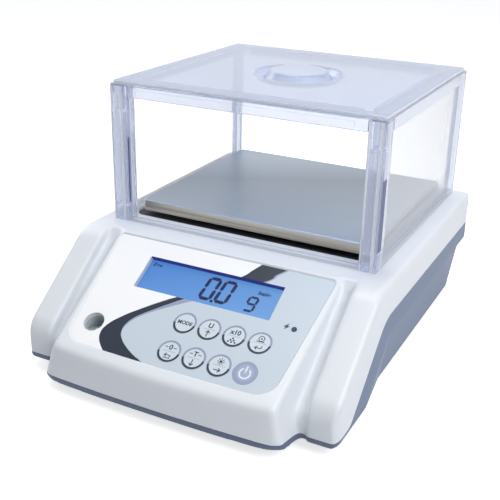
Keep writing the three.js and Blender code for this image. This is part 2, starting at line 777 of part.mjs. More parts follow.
function buildLowerHousing() {
  const slants = [sideSlant(1, 0), sideSlant(-1, 0)];
  const outside = cut(outerForm.subtract(solidOf(aboveSeam(-partGap / 2))),
    [rearUndercut(0), ...slants]);
  const aboveFloor = block(-housingWidth, housingWidth, -housingDepth, housingDepth,
    floorZ, deckHeight + overrun);
  const hollow = cut(innerForm.intersect(solidOf(aboveFloor)),
    [rearUndercut(shellWall), sideSlant(1, shellWall), sideSlant(-1, shellWall)]);
  const standoffs = [-1, 1].flatMap((sx) => [-1, 1].map((sy) => bar(standoffRadius,
    mainBoardX + sx * (mainBoardWidth / 2 - standoffInset),
    mainBoardY + sy * (mainBoardLength / 2 - standoffInset),
    baseClearance, floorZ + standoffHeight, smallCircleSides)));
  const added = joined([
    block(-cellWidth / 2, cellWidth / 2, cellRearY - 2 * cellEndInset, cellRearY,
      baseClearance, cellSeatZ),
    ...housingScrews.map(({ x, y }) => {
      return bar(housingBossRadius, x, y, baseClearance, lowerBossTop, smallCircleSides);
    }),
    ...feet.map(({ x, y }) => {
      return bar(footBossRadius, x, y, baseClearance, baseClearance + footBossHeight);
    }),
    ...standoffs,
  ]).intersect(outerForm);
  const solid = outside.subtract(hollow).add(added);
  const low = baseClearance - overrun;
  const headRoom = housingScrewHeadHeight + 2 * partGap;
  const jackHole = bar(jackBarrel + partGap, jackX, 0, 0, tubRearInset)
    .rotateX(-Math.PI / 2).translate(0, tubRearY - tubRearInset / 2, jackHeight);
  const serialHole = block(
    serialX - serialShellWidth / 2 - partGap, serialX + serialShellWidth / 2 + partGap,
    tubRearY - tubRearInset / 2, tubRearY + tubRearInset / 2,
    serialHeight - serialShellHeight / 2 - partGap,
    serialHeight + serialShellHeight / 2 + partGap);
  return cut(solid, [
    ...housingScrews.flatMap(({ x, y }) => [
      bar(housingScrewHead + partGap, x, y, low, baseClearance + headRoom, smallCircleSides),
      bar(housingScrewShank + partGap, x, y, low, lowerBossTop + overrun, smallCircleSides),
    ]),
    ...feet.map(({ x, y }) => {
      return bar(footStemRadius + stemClearance, x, y, low, deckHeight / 2, smallCircleSides);
    }),
    ...cellScrewXs.flatMap((x) => [
      bar(cellScrewHead + partGap, x, fixedScrewY, low,
        fixedHeadZ + cellScrewHeadHeight + partGap, smallCircleSides),
      bar(cellScrewShank + partGap, x, fixedScrewY, low, cellSeatZ + overrun, smallCircleSides),
    ]),
    jackHole,
    serialHole,
  ]);
}

addPart('upper_housing', geometryOf(buildUpperHousing()), 'whiteAbs');
addPart('lower_housing', geometryOf(buildLowerHousing()), 'greyAbs');

// Black liner in the well under the pan
function buildDeckLiner() {
  const shape = roundedRectangle(-wellHalfWidth + partGap, wellHalfWidth - partGap,
    wellFrontY + partGap, wellRearY - partGap, wellRound - partGap);
  const hole = roundedRectangle(-postHoleX, postHoleX, postY - postHoleY, postY + postHoleY, 0);
  shape.holes.push(new THREE.Path(hole.getPoints()));
  return prism(shape, 'z', 0, linerThickness);
}

addPart('deck_liner', buildDeckLiner(), 'blackAbs').position.z = wellFloorZ + partGap;

// Pan: one folded sheet, open below
function buildPan() {
  const outer = prism(roundedRectangle(-panWidth / 2, panWidth / 2, -panDepth / 2, panDepth / 2,
    panCornerRound), 'z', -panSkirt, 0);
  const inner = prism(roundedRectangle(-panWidth / 2 + panSheet, panWidth / 2 - panSheet,
    -panDepth / 2 + panSheet, panDepth / 2 - panSheet, panCornerRound - panSheet),
  'z', -panSkirt - overrun, -panSheet);
  return geometryOf(cut(solidOf(outer), [inner]));
}

addPart('pan', buildPan(), 'stainless').position.set(0, panY, panTopZ);

// Support under the pan: a cast cross, a spine and a post down to the load cell's free end
const padTopZ = panTopZ - panSheet - partGap;
const armTopZ = padTopZ - padHeight - partGap;
const flangeZ = cellZ + cellHeight + partGap;

const pads = [-1, 1].flatMap((sy) => [-1, 1].map((sx) => {
  return { x: (sx * padSpanX) / 2, y: (sy * padSpanY) / 2 };
}));

function buildPanSupport() {
  const armLength = Math.hypot(padSpanX, padSpanY);
  const armAngle = Math.atan2(padSpanY, padSpanX);
  const arms = [armAngle, -armAngle].map((angle) => {
    return block(-armLength / 2, armLength / 2, -armWidth / 2, armWidth / 2,
      armTopZ - armHeight, armTopZ).rotateZ(angle).translate(0, panY, 0);
  });
  const padSeats = pads.map(({ x, y }) => {
    return bar(padRadius + 1.5 * partGap, x, y + panY, armTopZ - armHeight, armTopZ,
      smallCircleSides);
  });
  const spine = block(-armWidth / 2, armWidth / 2, postY - supportPostY / 2, panY,
    armTopZ - armHeight, armTopZ);
  const post = block(-supportPostX / 2, supportPostX / 2, postY - supportPostY / 2,
    postY + supportPostY / 2, flangeZ, armTopZ);
  const flange = block(-cellWidth / 2, cellWidth / 2, postY - supportPostY / 2,
    postY + supportPostY / 2, flangeZ, flangeZ + supportFlangeHeight);
  return geometryOf(cut(joined([...arms, ...padSeats, spine, post, flange]),
    cellScrewXs.map((x) => bar(cellScrewShank + partGap, x, postY, cellZ,
      flangeZ + supportFlangeHeight + partGap, smallCircleSides))));
}

addPart('pan_support', buildPanSupport(), 'aluminium');

pads.forEach(({ x, y }, i) => {
  const pad = addPart(`support_pad_${i + 1}`,
    bar(padRadius, 0, 0, 0, padHeight, smallCircleSides), 'rubber');
  pad.position.set(x, y + panY, armTopZ + partGap);
});

// Load cell: a beam with two round bores joined by a slot, which make it bend
function buildLoadCell() {
  const side = new THREE.Shape([
    new THREE.Vector2(-cellLength / 2, 0),
    new THREE.Vector2(cellLength / 2, 0),
    new THREE.Vector2(cellLength / 2, cellHeight),
    new THREE.Vector2(-cellLength / 2, cellHeight),
  ]);
  const beam = solidOf(prism(side, 'x', -cellWidth / 2, cellWidth / 2).translate(0, panY, cellZ));
  const middleZ = cellZ + cellHeight / 2;
  const bores = [-1, 1].map((sign) => {
    return bar(cellBoreRadius, 0, 0, -cellWidth, cellWidth).rotateY(Math.PI / 2)
      .translate(0, panY + (sign * cellBoreSpacing) / 2, middleZ);
  });
  const slot = block(-cellWidth, cellWidth, panY - cellBoreSpacing / 2, panY + cellBoreSpacing / 2,
    middleZ - cellWebSlot / 2, middleZ + cellWebSlot / 2);
  const threads = cellScrewXs.flatMap((x) => [
    bar(cellScrewShank + partGap, x, fixedScrewY, cellZ - overrun,
      cellZ + cellScrewDepth + 2 * partGap, smallCircleSides),
    bar(cellScrewShank + partGap, x, postY, cellZ + cellHeight - cellScrewDepth - 4 * partGap,
      cellZ + cellHeight + overrun, smallCircleSides),
  ]);
  return geometryOf(cut(beam, [...bores, slot, ...threads]));
}

addPart('load_cell', buildLoadCell(), 'aluminium');

// A cap screw with its head at the origin and its shank up the Z axis
function screw(headRadius, headHeight, shankRadius, shankLength) {
  const profile = [
    new THREE.Vector2(0, 0),
    new THREE.Vector2(headRadius, 0),
    new THREE.Vector2(headRadius, headHeight),
    new THREE.Vector2(shankRadius, headHeight),
    new THREE.Vector2(shankRadius, headHeight + shankLength),
    new THREE.Vector2(0, headHeight + shankLength),
  ];
  return new THREE.LatheGeometry(profile, smallCircleSides).rotateX(Math.PI / 2);
}

const fixedShank = cellZ + cellScrewDepth - fixedHeadZ - cellScrewHeadHeight;
const freeHeadZ = flangeZ + supportFlangeHeight + partGap;
const freeShank = freeHeadZ - cellZ - cellHeight + cellScrewDepth;

cellScrewXs.forEach((x, i) => {
  const fixed = addPart(`cell_screw_${i + 1}`,
    screw(cellScrewHead, cellScrewHeadHeight, cellScrewShank, fixedShank), 'steel');
  fixed.position.set(x, fixedScrewY, fixedHeadZ);
});

cellScrewXs.forEach((x, i) => {
  const free = addPart(`cell_screw_${i + 3}`,
    screw(cellScrewHead, cellScrewHeadHeight, cellScrewShank, freeShank), 'steel');
  free.position.set(x, postY, freeHeadZ + cellScrewHeadHeight);
  free.rotation.x = Math.PI;
});

housingScrews.forEach(({ x, y }, i) => {
  const headZ = baseClearance + partGap;
  const shank = floorZ + housingScrewLength - headZ - housingScrewHeadHeight;
  const part = addPart(`housing_screw_${i + 1}`,
    screw(housingScrewHead, housingScrewHeadHeight, housingScrewShank, shank), 'steel');
  part.position.set(x, y, headZ);
});

// Film with openings for the display, keys, lamp and level
function buildFilm() {
  const shape = new THREE.Shape(filmOutline(0));
  const opening = roundedRectangle(
    windowX - windowWidth / 2 - partGap, windowX + windowWidth / 2 + partGap,
    -windowCentre - windowHeight / 2 - partGap, -windowCentre + windowHeight / 2 + partGap, 0);
  shape.holes.push(new THREE.Path(opening.getPoints()));
  const rounds = [
    ...keys.map((key) => ({ x: key.x, y: -key.row, radius: key.radius + keyClearance })),
    { x: ledX, y: -ledDistance, radius: ledRadius + partGap },
    { x: levelX, y: -levelDistance, radius: levelHoleRadius },
  ];
  rounds.forEach(({ x, y, radius }) => {
    shape.holes.push(new THREE.Path().absarc(x, y, radius, 0, 2 * Math.PI));
  });
  return prism(shape, 'z', 0, filmThickness);
}

const filmZ = -filmRecess + partGap;
addPart('keypad_overlay', buildFilm(), 'film', consoleFace).position.z = filmZ;

// Display stack behind the window: clear plate, glass, backlight and board
const windowTopZ = -windowDrop;
const glassTopZ = -panelBacking - partGap;
const backlightTopZ = glassTopZ - glassThickness - partGap;
const boardTopZ = backlightTopZ - backlightThickness - partGap;

function plate(width, height, thickness) {
  return block(-width / 2, width / 2, -height / 2, height / 2, -thickness, 0);
}

const windowPlate = addPart('display_window',
  plate(windowWidth, windowHeight, panelBacking - windowDrop), 'clearPlastic', consoleFace);
windowPlate.position.set(windowX, -windowCentre, windowTopZ);

const glass = addPart('display_glass', plate(glassWidth, glassHeight, glassThickness), 'lcd',
  consoleFace);
glass.position.set(windowX, -windowCentre, glassTopZ);

const backlight = addPart('display_backlight', plate(glassWidth, glassHeight, backlightThickness),
  'whitePlastic', consoleFace);
backlight.position.set(windowX, -windowCentre, backlightTopZ);

const controlBoard = addPart('control_board', plate(boardWidth, boardLength, boardThickness),
  'board', consoleFace);
controlBoard.position.set(boardX, -boardCentre, boardTopZ);

// Keys: a disc in the film and a stem down to its switch on the board
function buildKey(radius) {
  const discTop = filmZ + filmThickness + keyProud;
  const tip = boardTopZ + keySwitchGap;
  const disc = bar(radius, 0, 0, discTop - keyDiscThickness, discTop);
  const stem = bar(keyStemRadius, 0, 0, tip, discTop - keyDiscThickness / 2, smallCircleSides);
  return geometryOf(joined([disc, stem]));
}

keys.forEach((key) => {
  const finish = key.name === 'key_power' ? 'powerKey' : 'film';
  addPart(key.name, buildKey(key.radius), finish, consoleFace).position.set(key.x, -key.row, 0);
});

const led = addPart('charge_led', bar(ledRadius, 0, 0, boardTopZ + partGap,
  filmZ + filmThickness + ledProud, smallCircleSides), 'led', consoleFace);
led.position.set(ledX, -ledDistance, 0);

// Spirit level: a cup that stands upright behind its hole, with the vial in it
const levelTilt = new THREE.Group();
const levelDrop = panelBacking + partGap + levelCupRadius * Math.sin(panelTilt);
levelTilt.position.set(levelX, -levelDistance, -levelDrop);
levelTilt.rotation.x = -panelTilt;
consoleFace.add(levelTilt);

function buildLevelCup() {
  const bore = bar(levelVialRadius + partGap, 0, 0, -levelVialHeight - 2 * partGap, overrun);
  return geometryOf(cut(solidOf(bar(levelCupRadius, 0, 0, -levelCupHeight, 0)), [bore]));
}

addPart('level_cup', buildLevelCup(), 'whitePlastic', levelTilt);
addPart('level_vial', bar(levelVialRadius, 0, 0, -levelVialHeight - partGap, -partGap),
  'clearPlastic', levelTilt);

// Main board with its larger components
function buildMainBoard() {
  const half = mainBoardWidth / 2;
  const sheet = block(-half, half, -mainBoardLength / 2, mainBoardLength / 2, 0, boardThickness);
  const chipShares = [
    { x: -0.4, y: -0.35, width: 0.55, depth: 0.25, height: 0.04 },
    { x: 0.35, y: 0.1, width: 0.4, depth: 0.16, height: 0.14 },
    { x: -0.35, y: 0.55, width: 0.3, depth: 0.12, height: 0.2 },
  ];
  const chips = chipShares.map((share) => {
    const x = share.x * half;
    const y = (share.y * mainBoardLength) / 2;
    return block(x - (share.width * half) / 2, x + (share.width * half) / 2,
      y - (share.depth * mainBoardLength) / 2, y + (share.depth * mainBoardLength) / 2,
      boardThickness / 2, boardThickness + share.height * mainBoardWidth);
  });
  return geometryOf(joined([sheet, ...chips]));
}

addPart('main_board', buildMainBoard(), 'board').position.set(mainBoardX, mainBoardY, mainBoardZ);

// Rechargeable battery with its two terminals
function buildBattery() {
  const body = block(-batteryWidth / 2, batteryWidth / 2, -batteryLength / 2, batteryLength / 2,
    0, batteryHeight);
  const terminals = [-1, 1].map((sign) => {
    const x = (sign * batteryWidth) / 3;
    const y = batteryLength / 2 - 2 * terminalSide;
    return block(x - terminalSide / 2, x + terminalSide / 2, y - terminalSide / 2,
      y + terminalSide / 2, batteryHeight - terminalSide / 2, batteryHeight + terminalHeight);
  });
  return geometryOf(joined([body, ...terminals]));
}

addPart('battery', buildBattery(), 'battery').position.set(batteryX, batteryY, floorZ + partGap);

// Power inlet and serial port, fixed behind the tub's rear wall
const wallInnerY = tubRearY - shellWall;

function buildDcJack() {
  const housing = block(-jackSide / 2, jackSide / 2, -jackDepth, 0, -jackSide / 2, jackSide / 2);
  const barrel = bar(jackBarrel, 0, 0, -jackSide / 2, tubRearLean / 2 + shellWall)
    .rotateX(-Math.PI / 2);
  const bore = bar(jackBore, 0, 0, tubRearLean / 2 + shellWall - jackBoreDepth, jackDepth,
    smallCircleSides).rotateX(-Math.PI / 2);
  return geometryOf(cut(joined([housing, barrel]), [bore]));
}

addPart('dc_jack', buildDcJack(), 'blackAbs')
  .position.set(jackX, wallInnerY - partGap, jackHeight);

function buildSerialPort() {
  const halfW = serialShellWidth / 2;
  const halfH = serialShellHeight / 2;
  const mouth = tubRearLean + shellWall;
  const flange = block(-serialFlangeWidth / 2, serialFlangeWidth / 2, -serialShellWall, 0,
    -serialFlangeHeight / 2, serialFlangeHeight / 2);
  const body = block(-halfW, halfW, -serialBodyDepth, mouth, -halfH, halfH);
  const pocket = block(-halfW + serialShellWall, halfW - serialShellWall,
    mouth - serialPocketDepth, mouth + overrun, -halfH + serialShellWall, halfH - serialShellWall);
  return geometryOf(cut(joined([flange, body]), [pocket]));
}

addPart('serial_port', buildSerialPort(), 'steel')
  .position.set(serialX, wallInnerY - partGap, serialHeight);

// Levelling feet: a screw with a thumb wheel on a rubber pad
const wheelZ = baseClearance - partGap - footWheelHeight;

feet.forEach(({ x, y }, i) => {
  const profile = [
    new THREE.Vector2(0, 0),
    new THREE.Vector2(footWheelRadius, 0),
    new THREE.Vector2(footWheelRadius, footWheelHeight),
    new THREE.Vector2(footStemRadius, footWheelHeight),
    new THREE.Vector2(footStemRadius, footWheelHeight + footStemLength),
    new THREE.Vector2(0, footWheelHeight + footStemLength),
  ];
  const stem = new THREE.LatheGeometry(profile, circleSides).rotateX(Math.PI / 2);
  addPart(`foot_screw_${i + 1}`, stem, 'greyAbs').position.set(x, y, wheelZ);
  const pad = bar(footPadRadius, 0, 0, 0, footPadHeight, circleSides);
  addPart(`foot_pad_${i + 1}`, pad, 'rubber').position.set(x, y, 0);
});

// Draft shield: posts, rails, panels, top frame and lid, in a frame on the deck
const shield = new THREE.Group();
shield.position.set(0, shieldFrontY, deckHeight + partGap);
balance.add(shield);

const shieldHalf = shieldWidth / 2;
const shieldTop = shieldHeight - partGap;
const lidBottom = shieldTop - lidThickness;
const flangeTop = lidBottom - partGap;
const postTop = flangeTop - frameFlange - partGap;
const skirtBottom = flangeTop - frameFlange - frameSkirt;

const posts = [
  { x: -shieldHalf, y: 0, side: frontPostSide },
  { x: shieldHalf - frontPostSide, y: 0, side: frontPostSide },
  { x: -shieldHalf, y: shieldDepth - rearPostSide, side: rearPostSide },
  { x: shieldHalf - rearPostSide, y: shieldDepth - rearPostSide, side: rearPostSide },
];

posts.forEach(({ x, y, side }, i) => {
  const shape = roundedRectangle(0, side, 0, side, side / 8);
  addPart(`shield_post_${i + 1}`, prism(shape, 'z', 0, postTop), 'clearPlastic', shield)
    .position.set(x, y, 0);
});

// A rail: a lip outside and a ledge inside, which carries the panel
function railGeometry(length) {
  const outline = [
    new THREE.Vector2(0, 0),
    new THREE.Vector2(railDepth, 0),
    new THREE.Vector2(railDepth, railLedge),
    new THREE.Vector2(railLip, railLedge),
    new THREE.Vector2(railLip, railHeight),
    new THREE.Vector2(0, railHeight),
  ];
  return prism(new THREE.Shape(outline), 'x', 0, length);
}

function sheetGeometry(length) {
  return block(0, length, railLip + partGap, railLip + partGap + panelSheet,
    railLedge + partGap, postTop);
}

// Each side: where its rail starts, how long it is and which way it turns
const frontSpan = shieldWidth - 2 * (frontPostSide + partGap);
const rearSpan = shieldWidth - 2 * (rearPostSide + partGap);
const flankSpan = shieldDepth - frontPostSide - rearPostSide - 2 * partGap;
const flankFrontY = frontPostSide + partGap;
const flankRearY = shieldDepth - rearPostSide - partGap;

const sides = [
  { name: 'front', span: frontSpan, x: -frontSpan / 2, y: 0, turn: 0 },
  { name: 'right', span: flankSpan, x: shieldHalf, y: flankFrontY, turn: Math.PI / 2 },
  { name: 'rear', span: rearSpan, x: rearSpan / 2, y: shieldDepth, turn: Math.PI },
  { name: 'left', span: flankSpan, x: -shieldHalf, y: flankRearY, turn: -Math.PI / 2 },
];

sides.forEach(({ name, span, x, y, turn }) => {
  const rail = addPart(`shield_rail_${name}`, railGeometry(span), 'clearPlastic', shield);
  rail.position.set(x, y, 0);
  rail.rotation.z = turn;
  const sheet = addPart(`shield_panel_${name}`, sheetGeometry(span), 'clearPlastic', shield);
  sheet.position.set(x, y, 0);
  sheet.rotation.z = turn;
});

// Top frame: a flat ring over the posts, with a skirt outside each panel
function buildTopFrame() {
  const ring = roundedRectangle(-shieldHalf, shieldHalf, 0, shieldDepth, frontPostSide / 8);
  const hole = roundedRectangle(-shieldHalf + frameFlangeWidth, shieldHalf - frameFlangeWidth,
    frameFlangeWidth, shieldDepth - frameFlangeWidth, frontPostSide / 8);
  ring.holes.push(new THREE.Path(hole.getPoints()));
  const flange = prism(ring, 'z', flangeTop - frameFlange, flangeTop);
  const skirts = sides.map(({ span, x, y, turn }) => {
    return block(0, span, 0, frameSkirtWall, skirtBottom, flangeTop - frameFlange / 2)
      .rotateZ(turn).translate(x, y, 0);
  });
  return geometryOf(joined([flange, ...skirts]));
}

addPart('shield_top_frame', buildTopFrame(), 'clearPlastic', shield);

// Lid: a thin plate with locating ribs and a round grip, a knob in a finger trough
function buildLid() {
  const middleY = shieldDepth / 2;
  const sheet = prism(roundedRectangle(-shieldHalf + lidInset, shieldHalf - lidInset,
    lidInset, shieldDepth - lidInset, frontPostSide / 8), 'z', lidBottom, shieldTop);
  const ribReachX = shieldHalf - frameFlangeWidth - partGap;
  const ribReachY = middleY - frameFlangeWidth - partGap;
  const ribLengthY = (lidRibHalfLength * shieldDepth) / shieldWidth;
  const ribs = [-1, 1].flatMap((sign) => {
    const ribY = middleY + sign * (ribReachY - lidRibThickness / 2);
    const ribX = sign * (ribReachX - lidRibThickness / 2);
    const half = lidRibThickness / 2;
    return [
      block(-lidRibHalfLength, lidRibHalfLength, ribY - half, ribY + half,
        lidBottom - lidRibHeight, lidBottom + lidThickness / 2),
      block(ribX - half, ribX + half, middleY - ribLengthY, middleY + ribLengthY,
        lidBottom - lidRibHeight, lidBottom + lidThickness / 2),
    ];
  });
  const top = shieldTop;
  const low = top - gripTroughDepth;
  const high = top + gripKnobRise;
  const wallShare = 0.8;
  const side = gripWall * wallShare;
  const profile = [
    new THREE.Vector2(0, high - gripWall),
    new THREE.Vector2(gripKnob - side, high - gripWall),
    new THREE.Vector2(gripTroughInner - 2 * side, low - gripWall),
    new THREE.Vector2(gripTroughOuter + side, low - gripWall),
    new THREE.Vector2(gripOuter + side, top - gripWall),
    new THREE.Vector2(gripOuter + side, top),
    new THREE.Vector2(gripOuter, top),
    new THREE.Vector2(gripTroughOuter, low),
    new THREE.Vector2(gripTroughInner, low),
    new THREE.Vector2(gripKnob + side, high - gripWall / 2),
    new THREE.Vector2(gripKnob, high),
    new THREE.Vector2(0, high),
  ];
  const grip = new THREE.LatheGeometry(profile, 2 * circleSides).rotateX(Math.PI / 2)
    .translate(0, middleY, 0);
  const hole = bar(gripOuter + side / 2, 0, middleY, lidBottom - overrun, top + overrun,
    2 * circleSides);
  return geometryOf(cut(joined([sheet, ...ribs]), [hole]).add(solidOf(grip)));
}

addPart('shield_lid', buildLid(), 'clearPlastic', shield);

export default balance;
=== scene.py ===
import math

import bmesh
import bpy
from mathutils import Euler, Matrix, Vector


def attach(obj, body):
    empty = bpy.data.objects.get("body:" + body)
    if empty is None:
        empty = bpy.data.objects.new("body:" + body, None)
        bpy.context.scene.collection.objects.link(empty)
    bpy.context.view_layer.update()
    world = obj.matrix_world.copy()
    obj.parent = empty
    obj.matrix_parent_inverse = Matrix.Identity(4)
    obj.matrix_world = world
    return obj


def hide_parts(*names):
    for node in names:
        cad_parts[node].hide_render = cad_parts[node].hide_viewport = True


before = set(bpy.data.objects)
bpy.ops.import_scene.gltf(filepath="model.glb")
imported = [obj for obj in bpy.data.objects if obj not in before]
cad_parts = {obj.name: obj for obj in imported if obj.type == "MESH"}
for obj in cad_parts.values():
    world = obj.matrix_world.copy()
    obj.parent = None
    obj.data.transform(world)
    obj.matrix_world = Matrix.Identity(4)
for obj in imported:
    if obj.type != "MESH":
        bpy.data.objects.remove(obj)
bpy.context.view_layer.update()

# Camera and light: a product table in a white room. The camera stands to the front right, a
# little above the lid. One large soft box hangs over the balance, one stands at each side.
scene = bpy.context.scene
scene.view_settings.view_transform = "Standard"

camera = bpy.data.objects.new("camera", bpy.data.cameras.new("camera"))
scene.collection.objects.link(camera)
scene.camera = camera
camera.data.sensor_width = 36
camera.data.lens = 61.274
camera.data.shift_x = -0.00272
camera.data.shift_y = 0.00052
camera.location = (0.23768, -0.49360, 0.28783)
camera_dip, camera_swing, camera_roll = 22.844, 26.741, 1.304
aim = Euler((math.radians(90 - camera_dip), 0, math.radians(camera_swing))).to_matrix()
camera.rotation_euler = (aim @ Matrix.Rotation(math.radians(camera_roll), 3, "Z")).to_euler()


def soft_box(name, place, target, size, power):
    lamp = bpy.data.objects.new(name, bpy.data.lights.new(name, "AREA"))
    scene.collection.objects.link(lamp)
    lamp.data.shape = "DISK"
    lamp.data.size = size
    lamp.data.energy = power
    lamp.location = place
    lamp.rotation_euler = (Vector(target) - Vector(place)).to_track_quat("-Z", "Y").to_euler()


soft_box("right_soft_box", (0.70, -0.32, 0.66), (0.0, -0.03, 0.05), 0.5, 4.2)
soft_box("left_soft_box", (-0.95, 0.28, 0.72), (0.0, -0.03, 0.05), 0.6, 2.7)
soft_box("top_soft_box", (-0.06, 0.10, 1.30), (0.0, 0.0, 0.05), 0.8, 8.0)


def colour(code):
    """An sRGB hex colour as the linear colour that a shader takes."""
    shares = [int(code[i : i + 2], 16) / 255 for i in (1, 3, 5)]
    return (*[c / 12.92 if c <= 0.04045 else ((c + 0.055) / 1.055) ** 2.4 for c in shares], 1)


def feed(node, inputs):
    """Sets a node's inputs, each to a value, an output, or another node's first output."""
    for name, value in inputs.items():
        if isinstance(value, bpy.types.Node):
            value = value.outputs[0]
        if isinstance(value, bpy.types.NodeSocket):
            node.id_data.links.new(value, node.inputs[name])
        else:
            node.inputs[name].default_value = value


def add_node(tree, kind, inputs=None, **settings):
    """A shader node with its inputs and its settings."""
    node = tree.nodes.new("ShaderNode" + kind)
    for name, value in settings.items():
        setattr(node, name, value)
    feed(node, inputs or {})
    return node


def maths(tree, operation, *values, **settings):
    """A number worked out from two or three others."""
    return add_node(tree, "Math", dict(enumerate(values)), operation=operation, **settings)


def ramp(tree, value, start=0.0, stop=1.0, low=0.0, high=1.0):
    """A number that runs from low to high while the value runs from start to stop."""
    return add_node(tree, "MapRange", {"Value": value, "From Min": start, "From Max": stop,
                                       "To Min": low, "To Max": high})


def mixed(tree, share, first, second, **settings):
    """A colour between two others."""
    inputs = {0: share, 6: first, 7: second}
    return add_node(tree, "Mix", inputs, data_type="RGBA", **settings).outputs[2]


def noise(tree, place, scale, detail=2.0):
    return add_node(tree, "TexNoise", {"Vector": place, "Scale": scale, "Detail": detail})


def own_place(tree):
    """The object's own coordinates."""
    return add_node(tree, "TexCoord").outputs["Object"]


def part_of(tree, place, axis):
    """One of the three coordinates of a place."""
    return add_node(tree, "SeparateXYZ", {"Vector": place}).outputs[axis]


def start_material(name, shader_inputs):
    """A material with one principled shader, and its tree and shader."""
    material = bpy.data.materials.new(name)
    material.use_nodes = True
    tree = material.node_tree
    tree.nodes.clear()
    shader = add_node(tree, "BsdfPrincipled", shader_inputs)
    add_node(tree, "OutputMaterial", {"Surface": shader})
    return material, tree, shader


world = bpy.data.worlds.new("white_room")
scene.world = world
world.use_nodes = True
room = world.node_tree
room.nodes.clear()


def seen_white(tree):
    """1 where the eye meets the room, straight or through metal and clear plastic."""
    ray = add_node(tree, "LightPath").outputs
    mirrored = maths(tree, "MAXIMUM", ray["Is Glossy Ray"], ray["Is Transmission Ray"])
    direct = maths(tree, "LESS_THAN", ray["Diffuse Depth"], 0.5)
    clear = maths(tree, "MULTIPLY", mirrored, direct)
    return maths(tree, "MAXIMUM", clear, ray["Is Camera Ray"])


plain = add_node(room, "Background", {"Color": colour("#EEF2FA"), "Strength": 0.29})
white = add_node(room, "Background", {"Color": colour("#FFFFFF"), "Strength": 1.0})
either = add_node(room, "MixShader", {0: seen_white(room), 1: plain, 2: white})
add_node(room, "OutputWorld", {"Surface": either})

# Floor: matt white paper that fades into the white room, and keeps the balance's shadow. It
# glows a little where the eye meets it, so that it shows as white as the room.
paper_size = 8.0
paper_lift = 0.72

paper, tree, shader = start_material(
    "matt_white_paper", {"Base Color": colour("#D6D8DC"), "Roughness": 0.9})
glow = maths(tree, "MULTIPLY", seen_white(tree), paper_lift)
feed(shader, {"Emission Strength": glow, "Emission Color": colour("#FFFFFF")})

floor_mesh = bpy.data.meshes.new("floor")
sheet = bmesh.new()
bmesh.ops.create_grid(sheet, x_segments=1, y_segments=1, size=paper_size / 2)
sheet.to_mesh(floor_mesh)
sheet.free()
floor = bpy.data.objects.new("floor", floor_mesh)
floor_mesh.materials.append(paper)
scene.collection.objects.link(floor)

# Housing: two injection-moulded ABS shells, closed by four screws from below. The upper one is
# cool white, the lower one blue-grey. Both are cut from one form, so they meet flush at a seam
# 0.3 mm wide, and the form's edges are rounded as a mould's are.
deck_z = 77.5
base_z = 6.5
rear_y = 144
front_y = -149
half_width = 107.5
bend_y = -59.5
wall = 2.6


def mesh_piece(shape, name):
    """An object with the shape, which is still in millimetres."""
    mesh = bpy.data.meshes.new(name)
    bmesh.ops.recalc_face_normals(shape, faces=shape.faces)
    shape.to_mesh(mesh)
    shape.free()
    piece = bpy.data.objects.new(name, mesh)
    scene.collection.objects.link(piece)
    return piece


def modify(piece, kind, **settings):
    """Adds a modifier with its settings."""
    modifier = piece.modifiers.new(kind.lower(), kind)
    for name, value in settings.items():
        setattr(modifier, name, value)


def take_modifiers(piece):
    """Makes what the modifiers show the piece's own mesh."""
    graph = bpy.context.evaluated_depsgraph_get()
    finished = bpy.data.meshes.new_from_object(piece.evaluated_get(graph))
    piece.modifiers.clear()
    worn = piece.data
    piece.data = finished
    bpy.data.meshes.remove(worn)


def combine(piece, tool, operation):
    """Cuts, joins or trims a piece with a shape or another piece, which is used up."""
    if isinstance(tool, bmesh.types.BMesh):
        tool = mesh_piece(tool, "tool")
    modify(piece, "BOOLEAN", object=tool, operation=operation, solver="MANIFOLD")
    take_modifiers(piece)
    bpy.data.objects.remove(tool)


def cut(piece, *tools):
    for tool in tools:
        combine(piece, tool, "DIFFERENCE")


def join(piece, *tools):
    for tool in tools:
        combine(piece, tool, "UNION")


def outline(corners, place, segments=8):
    """A flat face whose corners (a, b, radius) are put in space by place and rounded."""
    shape = bmesh.new()
    corners = list(corners)
    verts = [shape.verts.new(place(a, b)) for a, b, _ in corners]
    shape.faces.new(verts)
    for i, (vert, (_, _, radius)) in enumerate(zip(verts, corners)):
        if radius > 0:
            before = verts[i - 1].co - vert.co
            after = verts[(i + 1) % len(verts)].co - vert.co
            corners[i] = (*corners[i][:2], radius / math.tan(before.angle(after) / 2))
    for vert, (_, _, reach) in zip(verts, corners):
        if reach > 0:
            bmesh.ops.bevel(shape, geom=[vert], offset=reach, offset_type="OFFSET",
                            affect="VERTICES", segments=segments, profile=0.5, material=-1)
    shape.faces.ensure_lookup_table()
    return shape


def push(shape, face, offset):
    """Extrudes a face by an offset and returns the face that moved."""
    made = bmesh.ops.extrude_face_region(shape, geom=[face, *face.edges])["geom"]
    moved = [part for part in made if isinstance(part, bmesh.types.BMVert)]
    bmesh.ops.translate(shape, verts=moved, vec=offset)
    return next(part for part in made if isinstance(part, bmesh.types.BMFace))


def side_prism(corners, x0, x1, segments=8):
    """A side view (y, z, radius) pushed from x0 to x1, and its two end faces."""
    shape = outline(corners, lambda y, z: (x0, y, z), segments)
    start = shape.faces[0]
    return shape, start, push(shape, start, (x1 - x0, 0, 0))


def plan_prism(corners, z0, z1, segments=8):
    """A plan view (x, y, radius) pushed from z0 to z1, and its two end faces."""
    shape = outline(corners, lambda x, y: (x, y, z0), segments)
    start = shape.faces[0]
    return shape, start, push(shape, start, (0, 0, z1 - z0))


def soften(shape, edges, radius, segments=6):
    """Rounds edges, as a mould rounds them."""
    bmesh.ops.bevel(shape, geom=list(edges), offset=radius, offset_type="OFFSET",
                    affect="EDGES", segments=segments, profile=0.5, material=-1)


def move(shape, x, y, z):
    bmesh.ops.translate(shape, vec=(x, y, z), verts=shape.verts)


